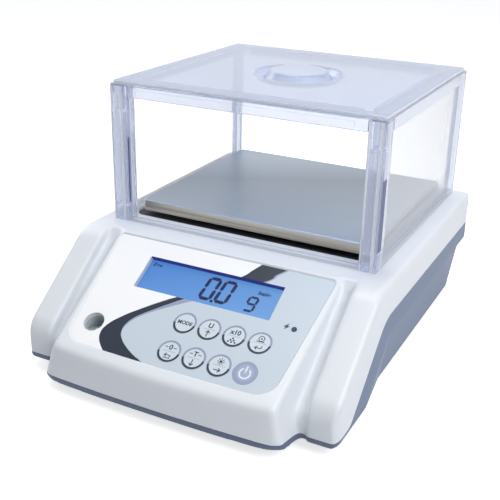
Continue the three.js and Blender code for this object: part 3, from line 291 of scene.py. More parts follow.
def block(x0, x1, y0, y1, z0, z1):
    """A plain block between two corners."""
    shape = bmesh.new()
    bmesh.ops.create_cube(shape, size=1)
    bmesh.ops.scale(shape, vec=(x1 - x0, y1 - y0, z1 - z0), verts=shape.verts)
    move(shape, (x0 + x1) / 2, (y0 + y1) / 2, (z0 + z1) / 2)
    return shape


def round_bar(radius, x, y, z0, z1, segments=32):
    """An upright round bar."""
    shape = bmesh.new()
    bmesh.ops.create_cone(shape, cap_ends=True, segments=segments, radius1=radius,
                          radius2=radius, depth=z1 - z0)
    move(shape, x, y, (z0 + z1) / 2)
    return shape


# Wings: on each side a crest strip follows the deck and runs down to a round nose. Between it
# and the console lies a groove 7 mm deep.
wing_nose_y = -128.05
below = -12
wing_side = [(rear_y, below, 0), (rear_y, deck_z, 6), (-64.9, deck_z, 25),
             (wing_nose_y, 28.75, 17), (wing_nose_y + 3, below, 0)]
parts = []
for side in (1, -1):
    wing, inner, outer = side_prism(wing_side, side * 88.5, side * half_width, 12)
    soften(wing, outer.edges, 4, 8)
    soften(wing, inner.edges, 2.2, 5)
    parts.append(wing)

groove_side = [(rear_y, below, 0), (rear_y, deck_z, 6), (-56.8, deck_z, 1.5),
               (-62.6, deck_z - 7, 3), (wing_nose_y + 1.5, 20.9, 10),
               (wing_nose_y + 6, below, 0)]
groove, _, _ = side_prism(groove_side, -96, 96, 10)
parts.append(groove)

# Console: a face at 30 degrees, narrower at the front, with rounded side edges. Its foot is
# pushed out to a bow, most in the middle.
slope = math.radians(30)
nose_y = -141.1
front_bow, bow_start = 2.8, -136.5
console_side = [(-44, below, 0), (-44, deck_z, 0), (bend_y, deck_z, 10),
                (nose_y, 30.39, 5.5), (-147.2, below, 0)]


def console_wall(y, z):
    """Half the console's width at a height: it narrows to the front and flares to the foot."""
    narrowing = 4.5 * (bend_y - y) / (bend_y - nose_y)
    depth = deck_z - (bend_y - y) * math.tan(slope) - z
    return 82 - narrowing + 0.245 * (depth - 4.04)


console, _, _ = side_prism(console_side, -1, 1, 10)
long_edges = [edge for edge in console.edges
              if edge.verts[0].co.x * edge.verts[1].co.x < 0]
bmesh.ops.subdivide_edges(console, edges=long_edges, cuts=15, use_grid_fill=True)
ends = [face for face in console.faces if min(abs(vert.co.x) for vert in face.verts) > 0.999]
for vert in console.verts:
    if vert.co.y < bow_start:
        slide = front_bow * (1 - vert.co.x ** 2)
        vert.co.y -= slide * math.cos(slope)
        vert.co.z -= slide * math.sin(slope)
    vert.co.x *= console_wall(vert.co.y, vert.co.z)
soften(console, [edge for face in ends for edge in face.edges], 5.0, 8)
parts.append(console)

form = mesh_piece(parts[0], "lower_shell")
join(form, *parts[1:])

# Plan of the housing, which rounds its upright corners and ends its foot. The lip in front of
# the wings is drawn back towards its ends.
corner_y = wing_nose_y - 3.5
lip_half, lip_bow = 86, 5.5
plan_right = [(x, front_y, 0) for x in (0, 13, 26, 39, 52, 65)]
plan_right += [(lip_half, front_y, 16), (lip_half, corner_y, 2), (half_width, corner_y, 12),
               (half_width, rear_y, 11)]
plan_left = [(-x, y, radius) for x, y, radius in reversed(plan_right[1:])]
plan, plan_foot, _ = plan_prism(plan_right + plan_left, base_z, deck_z + 5, 10)
for vert in plan.verts:
    if vert.co.y < corner_y:
        share = (corner_y - vert.co.y) / (corner_y - front_y)
        vert.co.y += lip_bow * share * (vert.co.x / lip_half) ** 2
soften(plan, plan_foot.edges, 2.2, 4)
combine(form, plan, "INTERSECT")

# Tub: the lower shell's sides slant inwards and run out to the front. Its back is set in, which
# leaves room for the plugs.
tub_top, tub_lean = 42, 5.5 / 35.5
low, outside = base_z - 1, rear_y + 5
for side in (1, -1):
    slant = bmesh.new()
    for z in (tub_top + 0.2, low):
        wall_x = half_width - tub_lean * (tub_top - z)
        for x, y in ((wall_x, outside), (wall_x, -44), (wall_x + 7, -94), (130, -94),
                     (130, outside)):
            slant.verts.new((side * x, y, z))
    bmesh.ops.convex_hull(slant, input=slant.verts)
    cut(form, slant)
rear_side = [(112, tub_top, 2), (115.2, low, 0), (outside, low, 0), (outside, tub_top, 0)]
undercut, _, _ = side_prism(rear_side, -115, 115, 4)
cut(form, undercut)


def copy_of(piece, name):
    twin = piece.copy()
    twin.data = piece.data.copy()
    twin.name = name
    scene.collection.objects.link(twin)
    return twin


# Skin: the form is remade in small even cells and relaxed, most of all above the tub, which
# gives the shoulders their large soft roundings. A copy that is shrunk by the wall hollows both
# shells.
modify(form, "REMESH", mode="VOXEL", voxel_size=0.9)
take_modifiers(form)
upper_part = form.vertex_groups.new(name="upper_part")
for vert in form.data.vertices:
    over_tub = abs(vert.co.x) > 92 and vert.co.y > -80 or vert.co.y > 110
    start_z = 46 if over_tub else 12
    upper_part.add([vert.index], min(1, max(0, (vert.co.z - start_z) / 6)), "REPLACE")
for iterations, group in ((4, ""), (14, "upper_part")):
    modify(form, "SMOOTH", factor=0.5, iterations=iterations, vertex_group=group)
take_modifiers(form)

core = copy_of(form, "core")
modify(core, "DISPLACE", strength=-wall, mid_level=0)
modify(core, "REMESH", mode="VOXEL", voxel_size=2.4)
take_modifiers(core)
modify(form, "DECIMATE", ratio=0.45)
take_modifiers(form)


def above_seam(shift):
    """What lies over the seam, which runs level from the back and dives to the front."""
    seam = [(rear_y + 9, 55.5 + shift, 0), (rear_y + 9, 90, 0), (front_y - 9, 90, 0),
            (front_y - 9, 10.4 + shift, 0), (-106.2, 10.4 + shift, 10), (-55, 55.5 + shift, 25)]
    return side_prism(seam, -120, 120, 14)[0]


half_seam = 0.15
upper, lower = copy_of(form, "upper_shell"), form
combine(upper, above_seam(half_seam), "INTERSECT")
cut(upper, copy_of(core, "core"))
cut(lower, above_seam(-half_seam), core)

# Well in the deck, 2.3 mm deep with a slightly flared rim, so that spilt powder stays out of
# the balance. A hole in its floor lets the pan's post through.
well_corners = [(-90, -28.5, 8), (90, -28.5, 8), (90, 127.5, 8), (-90, 127.5, 8)]
well_middle = 49.5
rim_flare = 0.8


def ring_plate(grow, z0, z1):
    corners = [(math.copysign(abs(x) + grow, x), y + math.copysign(grow, y - well_middle),
                radius + grow) for x, y, radius in well_corners]
    return plan_prism(corners, z0, z1, 10)[0]


def top_face(shape):
    return max(shape.faces, key=lambda face: face.calc_center_median().z)


join(upper, ring_plate(wall, 72.6, 76.9))
cut(upper, ring_plate(0, 75.2, 85))
flare = ring_plate(0, 76.9, 77.2)
rim = push(flare, top_face(flare), (0, 0, 0.5))
bmesh.ops.scale(flare, vec=(1 + rim_flare / 90, 1 + rim_flare / 78, 1), verts=rim.verts,
                space=Matrix.Translation((0, -well_middle, 0)))
cut(upper, flare, block(-7.1, 7.1, -5.35, 19.85, 70, 79))

# Console face: it has a frame of its own, from the film's top edge: X right, Y up the slope, Z
# out. The film lies in a recess, and the window, level, lamp and keys have their openings.
console_frame = (Matrix.Translation((0, bend_y - 2.2 * math.cos(slope), deck_z - 1.1))
                 @ Matrix.Rotation(slope, 4, "X"))
film_bottom = -86.5
film_corners = [(-69.8, film_bottom + 1.8, 13), (0, film_bottom, 1900),
                (69.8, film_bottom + 1.8, 13), (77.3, 0, 3), (-77.3, 0, 3)]


def film_prism(grow, z0, z1):
    """The film's outline, grown on all sides, between two depths of the console's frame."""
    corners = [(x + math.copysign(grow, x) * (x != 0), y + (grow if y == 0 else -grow),
                radius + (grow if abs(x) > 0 else 0)) for x, y, radius in film_corners]
    return plan_prism(corners, z0, z1, 10)[0]


def on_console(shape, name="tool"):
    bmesh.ops.transform(shape, matrix=console_frame, verts=shape.verts)
    return mesh_piece(shape, name)


join(upper, on_console(film_prism(1.8, -4.4, -1.5)))
recess = film_prism(0.06, -1.8, -0.9)
mouth = push(recess, top_face(recess), (0, 0, 0.9))
bmesh.ops.scale(recess, vec=(1.014, 1.025, 1), verts=mouth.verts,
                space=Matrix.Translation((0, 43, 0)))
push(recess, mouth, (0, 0, 6))
cut(upper, on_console(recess))

window_left, window_right, window_foot, window_head = -46.8, 48.4, -37.08, -12.36
key_columns = [-0.5, 16.25, 33.0, 49.75]
key_rows = [53.2, 74.0]
lamp_place = (65.4, 38.79)
level_place = (-58.1, 68.62)


def console_holes(grow, lamp, keys, z0, z1):
    """Cutters for the window, level, lamp and keys; a round one is a radius and its sides."""
    window = block(window_left - grow, window_right + grow, window_foot - grow,
                   window_head + grow, z0, z1)
    places = [level_place, lamp_place] + [(x, s) for x in key_columns for s in key_rows]
    return [on_console(window)] + [
        on_console(round_bar(radius, x, -s, z0, z1, sides))
        for (x, s), (radius, sides) in zip(places, [(6.8, 48), lamp, *keys])]


cut(upper, *console_holes(0.3, (1.9, 16), [(2.7, 24)] * 8, -9, 0))

# Underside of the tray: bosses for the four feet and the housing screws, and two holes in the
# back for the sockets.
foot_places = [(-89, -100), (89, -100), (-89, 78), (89, 78)]
housing_screw_places = [(96, 100), (-96, 100), (98, -114), (-98, -114)]
cell_screw_places = [(-10, 93.25), (10, 93.25)]
socket_z = 25.55
jack_x, serial_x = 52, -52

for x, y in foot_places:
    join(lower, round_bar(6.2, x, y, 8.5, 16))
    cut(lower, round_bar(3.25, x, y, 5, 20))
for places, boss, seat, seat_top, bore in ((housing_screw_places, 5.2, 3.4, 9.35, 1.8),
                                           (cell_screw_places, 5.5, 3.65, 10.4, 2.3)):
    for x, y in places:
        join(lower, round_bar(boss, x, y, 8.5, 13.5))
        cut(lower, round_bar(seat, x, y, 5, seat_top, 24), round_bar(bore, x, y, 5, 20, 16))


def rotate(shape, degrees, axis="Z"):
    bmesh.ops.rotate(shape, cent=(0, 0, 0), verts=shape.verts,
                     matrix=Matrix.Rotation(math.radians(degrees), 3, axis))


def lying_bar(radius, x, z, y0, y1, segments=16):
    """A round bar that points backwards."""
    shape = round_bar(radius, 0, 0, y0, y1, segments)
    rotate(shape, -90, "X")
    move(shape, x, 0, z)
    return shape


cut(lower, lying_bar(4.9, jack_x, socket_z, 107.5, 119.5, 32),
    block(serial_x - 8.8, serial_x + 8.8, 107, 120, socket_z - 4.55, socket_z + 4.55))


def dress(piece, finishes, body, slot, *nodes):
    """Turns a piece from millimetres to metres, gives it its finishes and body, and hides the CAD
    nodes it replaces.
    """
    piece.data.transform(Matrix.Scale(0.001, 4))
    piece.data.materials.clear()
    for material in finishes if isinstance(finishes, tuple) else (finishes,):
        piece.data.materials.append(material)
    piece.data.shade_smooth()
    piece.data.set_sharp_from_angle(angle=math.radians(32))
    modify(piece, "WEIGHTED_NORMAL", keep_sharp=True)
    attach(piece, body)
    if nodes:
        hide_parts(*nodes)


def grained(name, shader_inputs, code, roughness, size, relief, drift=0.015):
    """A material with a fine grain in mm: a little colour drift, uneven gloss, and relief."""
    material, tree, shader = start_material(name, shader_inputs)
    grain = noise(tree, own_place(tree), 1000 / size)
    base = colour(code)
    darker = (*[c * (1 - drift) for c in base[:3]], 1)
    lighter = (*[min(1, c * (1 + drift)) for c in base[:3]], 1)
    bump = add_node(tree, "Bump", {"Height": grain, "Strength": 0.1, "Distance": relief / 1000})
    feed(shader, {"Base Color": mixed(tree, grain, darker, lighter), "Normal": bump,
                  "Roughness": ramp(tree, grain, low=roughness - 0.04, high=roughness + 0.05)})
    return material


def node_of(material, kind):
    return next(node for node in material.node_tree.nodes if node.type == kind)


def moulded_abs(name, code, roughness):
    """Moulded ABS: satin, its spark-eroded grain of 0.2 mm drawn at 0.9 mm so that it shows."""
    return grained(name, {"IOR": 1.53}, code, roughness, 0.9, 0.12)


white_abs = moulded_abs("moulded_white_abs", "#E4E8ED", 0.36)
grey_abs = moulded_abs("moulded_blue_grey_abs", "#566989", 0.46)

# The lower shell is painted darker along its foot: painted shade for the lip, which faces down near
# the table.
tree, shader = grey_abs.node_tree, node_of(grey_abs, "BSDF_PRINCIPLED")
rise = ramp(tree, part_of(tree, own_place(tree), "Z"), 0.0085, 0.0125)
unshaded_grey = shader.inputs["Base Color"].links[0].from_socket
# painted shade: dark slate up to 8.5 mm, blending into the plain grey by 12.5 mm
feed(shader, {"Base Color": mixed(tree, rise, colour("#57617A"), unshaded_grey)})
dress(upper, white_abs, "base", "white_abs", "upper_housing")
dress(lower, grey_abs, "base", "grey_abs", "lower_housing")


def coat(material, *names):
    """Gives CAD nodes a finish."""
    for name in names:
        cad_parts[name].data.materials[0] = material


# Screws: zinc-plated steel, four close the housing from below and four hold the load cell. The
# plating is bright with a slightly cloudy, grey tone.
zinc = grained("zinc_plated_steel", {"Metallic": 1.0}, "#B4B8BC", 0.34, 1.2, 0.02, 0.06)
coat(zinc, *[f"{kind}_screw_{i}" for kind in ("housing", "cell") for i in range(1, 5)])

# Deck liner: a black moulded ABS plate that lies loose at the bottom of the well. It shows as
# the dark gap under the pan.
black_abs = moulded_abs("moulded_black_abs", "#1A1C1F", 0.45)
coat(black_abs, "deck_liner")

# Load cell: a milled aluminium beam with a thin waist, screwed to the tray. Fine cutter marks
# across it make it slightly dull.
milled = grained("milled_aluminium", {"Metallic": 1.0}, "#C6C9CC", 0.36, 0.8, 0.03, 0.04)
coat(milled, "load_cell")

# Pan support: a cast aluminium cross that stands on the load cell and carries the pan on four
# rubber pads. The cast skin is dull and a little uneven.
cast = grained("cast_aluminium", {"Metallic": 1.0}, "#A9ADB0", 0.55, 1.6, 0.15, 0.06)
coat(cast, "pan_support")
rubber = grained("moulded_rubber", {"IOR": 1.52}, "#26282B", 0.75, 1.0, 0.1, 0.08)
coat(rubber, *[f"support_pad_{i}" for i in range(1, 5)])

# Pan: 1.2 mm stainless sheet with a folded skirt, ground along its length. The grinding lines
# are 0.1 mm apart and drawn at 0.5 mm, and stretch the reflections across them. A painted
# reflection slowly changes the top's tone, and the skirt's warmer, streaked tone is painted
# reflection too.
pan_corners = [(-85.5, -24.4, 3.5), (85.5, -24.4, 3.5), (85.5, 124.9, 3.5), (-85.5, 124.9, 3.5)]
skirt_z, pan_z, fold_radius, sheet_thickness = 79.9, 87.2, 1.3, 1.2

pan_shape, _, pan_top = plan_prism(pan_corners, skirt_z, pan_z, 6)
soften(pan_shape, pan_top.edges, fold_radius, 4)
pan_foot = min(pan_shape.faces, key=lambda face: face.calc_center_median().z)
bmesh.ops.delete(pan_shape, geom=[pan_foot], context="FACES_ONLY")
pan = mesh_piece(pan_shape, "weighing_pan")
modify(pan, "SOLIDIFY", thickness=sheet_thickness, offset=-1)
take_modifiers(pan)

stainless, tree, shader = start_material("ground_stainless_steel", {"Metallic": 1.0})
place = own_place(tree)
lines = add_node(tree, "Mapping", {"Vector": place, "Scale": (30, 2000, 2000)})
grain = noise(tree, lines, 1.0, 3.0)
tone = mixed(tree, grain, colour("#9DA8B4"), colour("#B2BDCA"))
# painted reflection: the top's tone rises and falls slowly in a broad diagonal band
across = maths(tree, "MULTIPLY_ADD", part_of(tree, place, "X"), -0.5, part_of(tree, place, "Y"))
painted_reflection_band = add_node(tree, "ValToRGB", {"Fac": ramp(tree, across, -0.04, 0.14)})
for point, share in ((0.0, 1.0), (0.3, 0.84), (0.65, 0.69), (1.0, 0.86)):
    stop = painted_reflection_band.color_ramp.elements.new(point)
    stop.color = (share, share, share, 1)
for spare in (painted_reflection_band.color_ramp.elements[-1], painted_reflection_band.color_ramp.elements[0]):
    painted_reflection_band.color_ramp.elements.remove(spare)
top = mixed(tree, 1.0, tone, painted_reflection_band, blend_type="MULTIPLY")
# painted reflection: the skirt gets a warmer tone than the top, in light and dark streaks
reflection_streaks = noise(tree, add_node(tree, "Mapping", {"Vector": place, "Scale": (6, 420, 420)}), 1.0)
skirt = mixed(tree, ramp(tree, reflection_streaks, 0.35, 0.65), colour("#9E978B"), colour("#CFCABD"))
fold = ramp(tree, part_of(tree, place, "Z"), 0.0859, 0.0866)
bump = add_node(tree, "Bump", {"Height": grain, "Strength": 0.12, "Distance": 0.00002})
feed(shader, {"Base Color": mixed(tree, fold, skirt, top), "Normal": bump,
              "Roughness": ramp(tree, grain, low=0.3, high=0.46)})
dress(pan, stainless, "weighing_pan", "stainless", "pan")

# Draft shield: clear styrene-acrylic, injection-moulded posts, rails and top frame with slots
# for four clear sheets. The plastic is faintly lilac, which its thick edges show most.
shield_half, shield_front, shield_rear, shield_middle = 95, -44, 132, 44
shield_foot, head_z, flange_top = 77.8, 170.1, 171.6


def uneven_gloss(tree, shader, scale, low, high, detail=2.0):
    """Roughness that drifts between two values."""
    flow = noise(tree, own_place(tree), scale, detail)
    feed(shader, {"Roughness": ramp(tree, flow, low=low, high=high)})


def clear_plastic(name, code, roughness, clarity):
    """Clear moulded plastic. Matt bounces and shadows go straight through it."""
    material, tree, shader = start_material(
        name, {"Base Color": colour(code), "IOR": 1.49, "Transmission Weight": clarity})
    uneven_gloss(tree, shader, 60.0, roughness, roughness + 0.03, 1.0)
    ray = add_node(tree, "LightPath").outputs
    through = maths(tree, "MAXIMUM", ray["Is Shadow Ray"], ray["Is Diffuse Ray"])
    open_air = add_node(tree, "BsdfTransparent", {"Color": colour("#F2F4FB")})
    blend = add_node(tree, "MixShader", {0: through, 1: shader, 2: open_air})
    feed(node_of(material, "OUTPUT_MATERIAL"), {"Surface": blend})
    return material


# Posts: the front ones are square tubes with an inner wall and a plug at the head, the rear ones
# are slim bars. Strips on the tubes carry a painted highlight as white lines, and a painted dark
# blue stands in for the refraction seen where the eye looks along a wall.
clear_post = clear_plastic("moulded_clear_acrylic", "#E6EAF4", 0.05, 0.76)
# painted highlight: a whiter, less clear plastic for strips that show as white lines
painted_highlight_acrylic = clear_plastic("painted_highlight_clear_acrylic", "#F4F6FB", 0.12, 0.3)
# painted dark refraction: an opaque dark blue for the band seen along a wall
painted_dark_refraction = grained("painted_dark_refraction_acrylic", {"IOR": 1.49, "Specular IOR Level": 0.1},
                    "#565F8C", 0.25, 6.0, 0.02, 0.1)
tube_side, bar_side = 11.5, 6.5
post_places = [(-shield_half, shield_front, tube_side), (shield_half, shield_front, tube_side),
               (-shield_half, shield_rear, bar_side), (shield_half, shield_rear, bar_side)]

# Strips on the tubes, in mm from the face's edge: start, stop, and 1 for a painted highlight or 2
# for a painted dark refraction, which runs between two heights only.
front_strips = ((0.2, 1.3, 1), (7.4, 9.4, 1))
side_strips = {1: ((2.0, 4.6, 2), (4.6, 6.4, 1), (10.2, 11.3, 1)),
               2: ((0.2, 6.4, 2), (6.4, 7.8, 1), (10.2, 11.3, 1))}
dark_band_foot, dark_band_head = 91, 136


def cut_lines(shape, axis, places):
    """Lines across a shape's faces, for strips of another finish."""
    normal = [(1, 0, 0), (0, 1, 0), (0, 0, 1)][axis]
    for place in places:
        bmesh.ops.bisect_plane(shape, geom=[*shape.verts, *shape.edges, *shape.faces],
                               plane_co=[place * share for share in normal], plane_no=normal)


for number, (x, y, side) in enumerate(post_places, 1):
    x0, x1 = sorted((x, x - math.copysign(side, x)))
    y0, y1 = sorted((y, y - math.copysign(side, y - shield_middle)))
    post_shape = block(x0, x1, y0, y1, shield_foot, head_z)
    soften(post_shape, [edge for edge in post_shape.edges
                        if abs((edge.verts[0].co - edge.verts[1].co).z) > 1], 0.6, 3)
    post = mesh_piece(post_shape, f"shield_post_{number}_clear")
    if side == tube_side:
        for inset, z0, z1 in ((1.6, 70, 88), (1.6, 89.2, 153), (2.6, 154.5, 175)):
            for left, right in ((x0 + inset, x1 - 5.2), (x1 - 3.8, x1 - 1.3)):
                cut(post, block(left, right, y0 + inset, y1 - inset, z0, z1))
        lined = bmesh.new()
        lined.from_mesh(post.data)
        cut_lines(lined, 0, {x0 + edge for strip in front_strips for edge in strip[:2]})
        cut_lines(lined, 1, {y0 + edge for strip in side_strips[number] for edge in strip[:2]})
        cut_lines(lined, 2, (dark_band_foot, dark_band_head))
        lined.to_mesh(post.data)
        lined.free()
    finishes = (clear_post, painted_highlight_acrylic, painted_dark_refraction) if side == tube_side else clear_post
    dress(post, finishes, "draft_shield", "clear_plastic", f"shield_post_{number}")
    for face in post.data.polygons if side == tube_side else ():
        across, along, height = face.center * 1000
        on_front = face.normal.y < -0.9 and along < y0 + 0.1
        on_side = face.normal.x > 0.9 and across > x1 - 0.1
        for start, stop, finish in front_strips * on_front + side_strips[number] * on_side:
            reach = across - x0 if on_front else along - y0
            if start < reach < stop and (finish == 1 or dark_band_foot < height < dark_band_head):
                face.material_index = finish

# Rails: thin moulded acrylic, an upright lip outside and a low ledge inside. The foot of the
# sheet stands in between.
clear_rail = grained("moulded_thin_clear_acrylic", {"IOR": 1.49, "Alpha": 0.16}, "#DDE2EE", 0.12,
                     4.0, 0.02)
rail_side = [(0, 0, 0.3), (4.9, 0, 0.3), (4.9, 2.0, 0.6), (2.5, 2.0, 0.4), (2.5, 5.5, 0.4),
             (0, 5.5, 0.8)]
rails = [("front", 166.4, 0, (0, shield_front)), ("rear", 176.4, 180, (0, shield_rear)),
         ("left", 157.4, -90, (-shield_half, 46.5)), ("right", 157.4, 90, (shield_half, 46.5))]
for name, length, turn, (x, y) in rails:
    rail, _, _ = side_prism(rail_side, -length / 2, length / 2, 3)
    rotate(rail, turn)
    move(rail, x, y, shield_foot)
    dress(mesh_piece(rail, f"shield_rail_{name}_clear"), clear_rail, "draft_shield",
          "clear_plastic", f"shield_rail_{name}")

# Sheets: extruded acrylic, 2 mm. Seen flat they nearly vanish; at a slant a grey veil, painted as
# opacity, stands in for the room they mirror, and it is stronger at the foot. Their sawn edges are
# milky.
sheet_clear, tree, shader = start_material(
    "extruded_clear_acrylic_sheet",
    {"Base Color": colour("#DADCE2"), "IOR": 1.49, "Specular IOR Level": 0.4})
uneven_gloss(tree, shader, 25.0, 0.03, 0.1)
# painted reflection: the grey sheet colour shows more at a slant, and more towards the foot
slant = add_node(tree, "LayerWeight", {"Blend": 0.5}).outputs["Facing"]
veil_at_foot = ramp(tree, part_of(tree, own_place(tree), "Z"), 0.086, 0.096, 2.1, 1.25)
veil = maths(tree, "MULTIPLY", maths(tree, "POWER", slant, 4.0), veil_at_foot, use_clamp=True)
lit = maths(tree, "SUBTRACT", 1.0, add_node(tree, "LightPath").outputs["Is Shadow Ray"])
feed(shader, {"Alpha": maths(tree, "MULTIPLY", veil, lit)})
sheet_edge = grained("sawn_clear_acrylic_edge", {"IOR": 1.49, "Alpha": 0.55}, "#C9D2EC", 0.4, 0.8,
                     0.05)
largest_edge = 0.004

for name, (x0, x1, y0, y1) in {"front": (-83.2, 83.2, -41.2, -39.2),
                               "rear": (-88.2, 88.2, 127.2, 129.2),
                               "left": (-92.2, -90.2, -32.2, 125.2),
                               "right": (90.2, 92.2, -32.2, 125.2)}.items():
    panel = mesh_piece(block(x0, x1, y0, y1, 80.1, head_z), f"shield_panel_{name}_clear")
    dress(panel, (sheet_clear, sheet_edge), "draft_shield", "clear_plastic",
          f"shield_panel_{name}")
    for face in panel.data.polygons:
        face.material_index = 1 if face.area < largest_edge else 0

# Top frame: a flat ring with skirts that hold the heads of the sheets. A fine slot runs along
# the front skirt.
clear_frame = clear_plastic("moulded_clear_acrylic_frame", "#E8ECF6", 0.04, 0.83)
skirt_foot, slot_half = 163.4, 75


def shield_block(inset, z0, z1, radius):
    """The shield's plan, drawn in by an inset, between two heights."""
    corners = [(x * (shield_half - inset), y, radius)
               for x, y in ((-1, shield_front + inset), (1, shield_front + inset),
                            (1, shield_rear - inset), (-1, shield_rear - inset))]
    return plan_prism(corners, z0, z1, 4)


ring, _, ring_top = shield_block(0, 170.4, flange_top, 1.5)
soften(ring, ring_top.edges, 0.5, 3)
top_frame = mesh_piece(ring, "shield_top_frame_clear")
cut(top_frame, shield_block(12, 160, 180, 2)[0])
for x0, x1, y0, y1 in ((-83.2, 83.2, shield_front, -41.5), (-88.2, 88.2, 129.5, shield_rear),
                       (-shield_half, -92.5, -32.2, 125.2), (92.5, shield_half, -32.2, 125.2)):
    skirt = block(x0, x1, y0, y1, skirt_foot, 171)
    soften(skirt, [edge for edge in skirt.edges
                   if max(vert.co.z for vert in edge.verts) < skirt_foot + 0.6], 0.4, 2)
    join(top_frame, skirt)
cut(top_frame, block(-slot_half, slot_half, -45, -43.7, 168.6, 169.0),
    *[block(x - 0.2, x + 0.2, -45, -43.7, 165.4, 169.0) for x in (-slot_half, slot_half)])
dress(top_frame, clear_frame, "draft_shield", "clear_plastic", "shield_top_frame")

# Lid: a moulded plate with ribs that drop inside the ring, and a round grip with a trough
# around a raised knob. It lies loose on the top frame. At a slant its haze veils what is below,
# and from straight above it is nearly clear. Its edge carries a painted highlight, and its grip is
# softer.
lid_foot, lid_top = 171.9, 173.5
grip_radius = 33.5


def turned(side, steps, segments=8):
    """A shape turned on the upright axis from a side view (r, z, radius) that ends on it."""
    shape = outline(side, lambda r, z: (r, 0, z), segments)
    bmesh.ops.delete(shape, geom=list(shape.faces), context="FACES_ONLY")
    on_axis = [edge for edge in shape.edges if max(vert.co.x for vert in edge.verts) < 1e-6]
    bmesh.ops.delete(shape, geom=on_axis, context="EDGES")
    bmesh.ops.spin(shape, geom=[*shape.verts, *shape.edges], cent=(0, 0, 0), axis=(0, 0, 1),
                   angle=2 * math.pi, steps=steps, use_merge=True)
    bmesh.ops.remove_doubles(shape, verts=shape.verts, dist=0.001)
    return shape


plate, _, plate_top = shield_block(1.2, lid_foot, lid_top, 2.5)
soften(plate, plate_top.edges, 0.5, 3)
lid = mesh_piece(plate, "shield_lid_clear")
cut(lid, round_bar(grip_radius - 1, 0, shield_middle, 160, 180, 96))
for x0, x1, y0, y1 in ((-75, 75, -30.8, -28.8), (-75, 75, 116.8, 118.8),
                       (-81.8, -79.8, -25.5, 113.5), (79.8, 81.8, -25.5, 113.5)):
    join(lid, block(x0, x1, y0, y1, 167.7, 172.4))
grip = turned([(0, 174.0, 0), (18.6, 174.0, 1.2), (22.6, 168.0, 1.5), (28.2, 168.0, 1.5),
               (31.6, lid_foot, 1.5), (grip_radius, lid_foot, 0), (grip_radius, lid_top, 0),
               (31, lid_top, 2), (27.4, 169.7, 1.2), (23.8, 169.7, 1.2), (20, 175.7, 1.6),
               (0, 175.7, 0)], 72, 5)
move(grip, 0, shield_middle, 0)
join(lid, grip)

clear_top = clear_plastic("moulded_hazed_acrylic", "#BDC8DF", 0.05, 0.66)
slant = add_node(clear_top.node_tree, "LayerWeight", {"Blend": 0.5}).outputs["Facing"]
clarity = ramp(clear_top.node_tree, slant, 0.1, 0.6, 0.94, 0.66)
feed(node_of(clear_top, "BSDF_PRINCIPLED"), {"Transmission Weight": clarity})
clear_grip = clear_plastic("moulded_hazed_acrylic_grip", "#C9D3E9", 0.16, 0.52)
dress(lid, (clear_top, painted_highlight_acrylic, clear_grip), "lid", "clear_plastic", "shield_lid")
on_grip = {vert.index for vert in lid.data.vertices
           if math.hypot(vert.co.x * 1000, vert.co.y * 1000 - shield_middle) < grip_radius + 0.1}
for face in lid.data.polygons:
    x, y, z = face.center * 1000
    # painted highlight: the rim's upright faces get the whiter strip plastic
    at_rim = max(abs(x) - 93, abs(y - shield_middle) - 86) > 0
    if at_rim and z > lid_foot and abs(face.normal.z) < 0.8:
        face.material_index = 1
    if on_grip.issuperset(face.vertices):
        face.material_index = 2

# Film: printed polyester, 0.6 mm, glued into the recess. White on the left, a navy sweep with a
# lilac edge, and pale blue-grey on the right; the ink lies behind the film, so all is flush.
film_foot, film_top = -1.5, -0.9
sweep_left = [(30, -4), (28, -1), (26.4, 1.4), (23, 6.2), (19.3, 11.5), (4, 26), (-13.9, 36.7),
              (-24.3, 44.2), (-34.3, 52.6), (-39.2, 56.9), (-43.1, 61), (-46.4, 64.8),
              (-48.8, 69), (-49.7, 72.5), (-49.3, 75.9), (-48, 78.8), (-44.9, 82.3), (-38, 88)]
sweep_middle = [(47, -4), (45, -1), (43.3, 1.2), (39.1, 5.5), (35.9, 10.6), (13, 25),
                (-8.2, 36.6), (-17.2, 43.4), (-27, 51.7), (-32, 56.4), (-35, 60.2),
                (-36.9, 64.4), (-37.2, 68), (-36.2, 71.6), (-34.2, 74.2), (-31.1, 76.9),
                (-26.6, 79.7), (-21.5, 82.3), (-16.2, 84.3), (-7, 88)]
sweep_right = [(48.6, -4), (46.6, -1), (44.8, 1.2), (40.6, 5.5), (37.4, 10.6), (20, 25),
               (-2.5, 36.8), (-11.9, 42.7), (-22.4, 49.9), (-27.5, 53.9), (-31.6, 57.6),
               (-34.5, 61.4), (-36.2, 65), (-36.8, 68.2), (-35.8, 71.8), (-33.8, 74.5),
               (-30.7, 77.3), (-26.2, 80.1), (-21.1, 82.8), (-15.8, 84.8), (-6.4, 88.5)]


def smooth_line(points, steps=6):
    """A smooth line through points."""
    line = [points[0]]
    ends = [points[0], *points, points[-1]]
    for before, start, stop, after in zip(ends, ends[1:], ends[2:], ends[3:]):
        for i in range(1, steps + 1):
            t = i / steps
            line.append(tuple(
                0.5 * (2 * b + (c - a) * t + (2 * a - 5 * b + 4 * c - d) * t ** 2
                       + (3 * b - a - 3 * c + d) * t ** 3)
                for a, b, c, d in zip(before, start, stop, after)))
    return line


def left_of(line):
    """A cutter for all of the film that lies left of a line."""
    corners = [(x, -s, 0) for x, s in smooth_line(line)] + [(-90, -88, 0), (-90, 4, 0)]
    return on_console(plan_prism(corners, -2.5, 0.5)[0])


def printed_film(name, code):
    """Ink seen through polyester film: even colour under a soft, slightly uneven gloss."""
    return grained(name, {"IOR": 1.57, "Specular IOR Level": 0.25}, code, 0.3, 1.1, 0.03, 0.008)


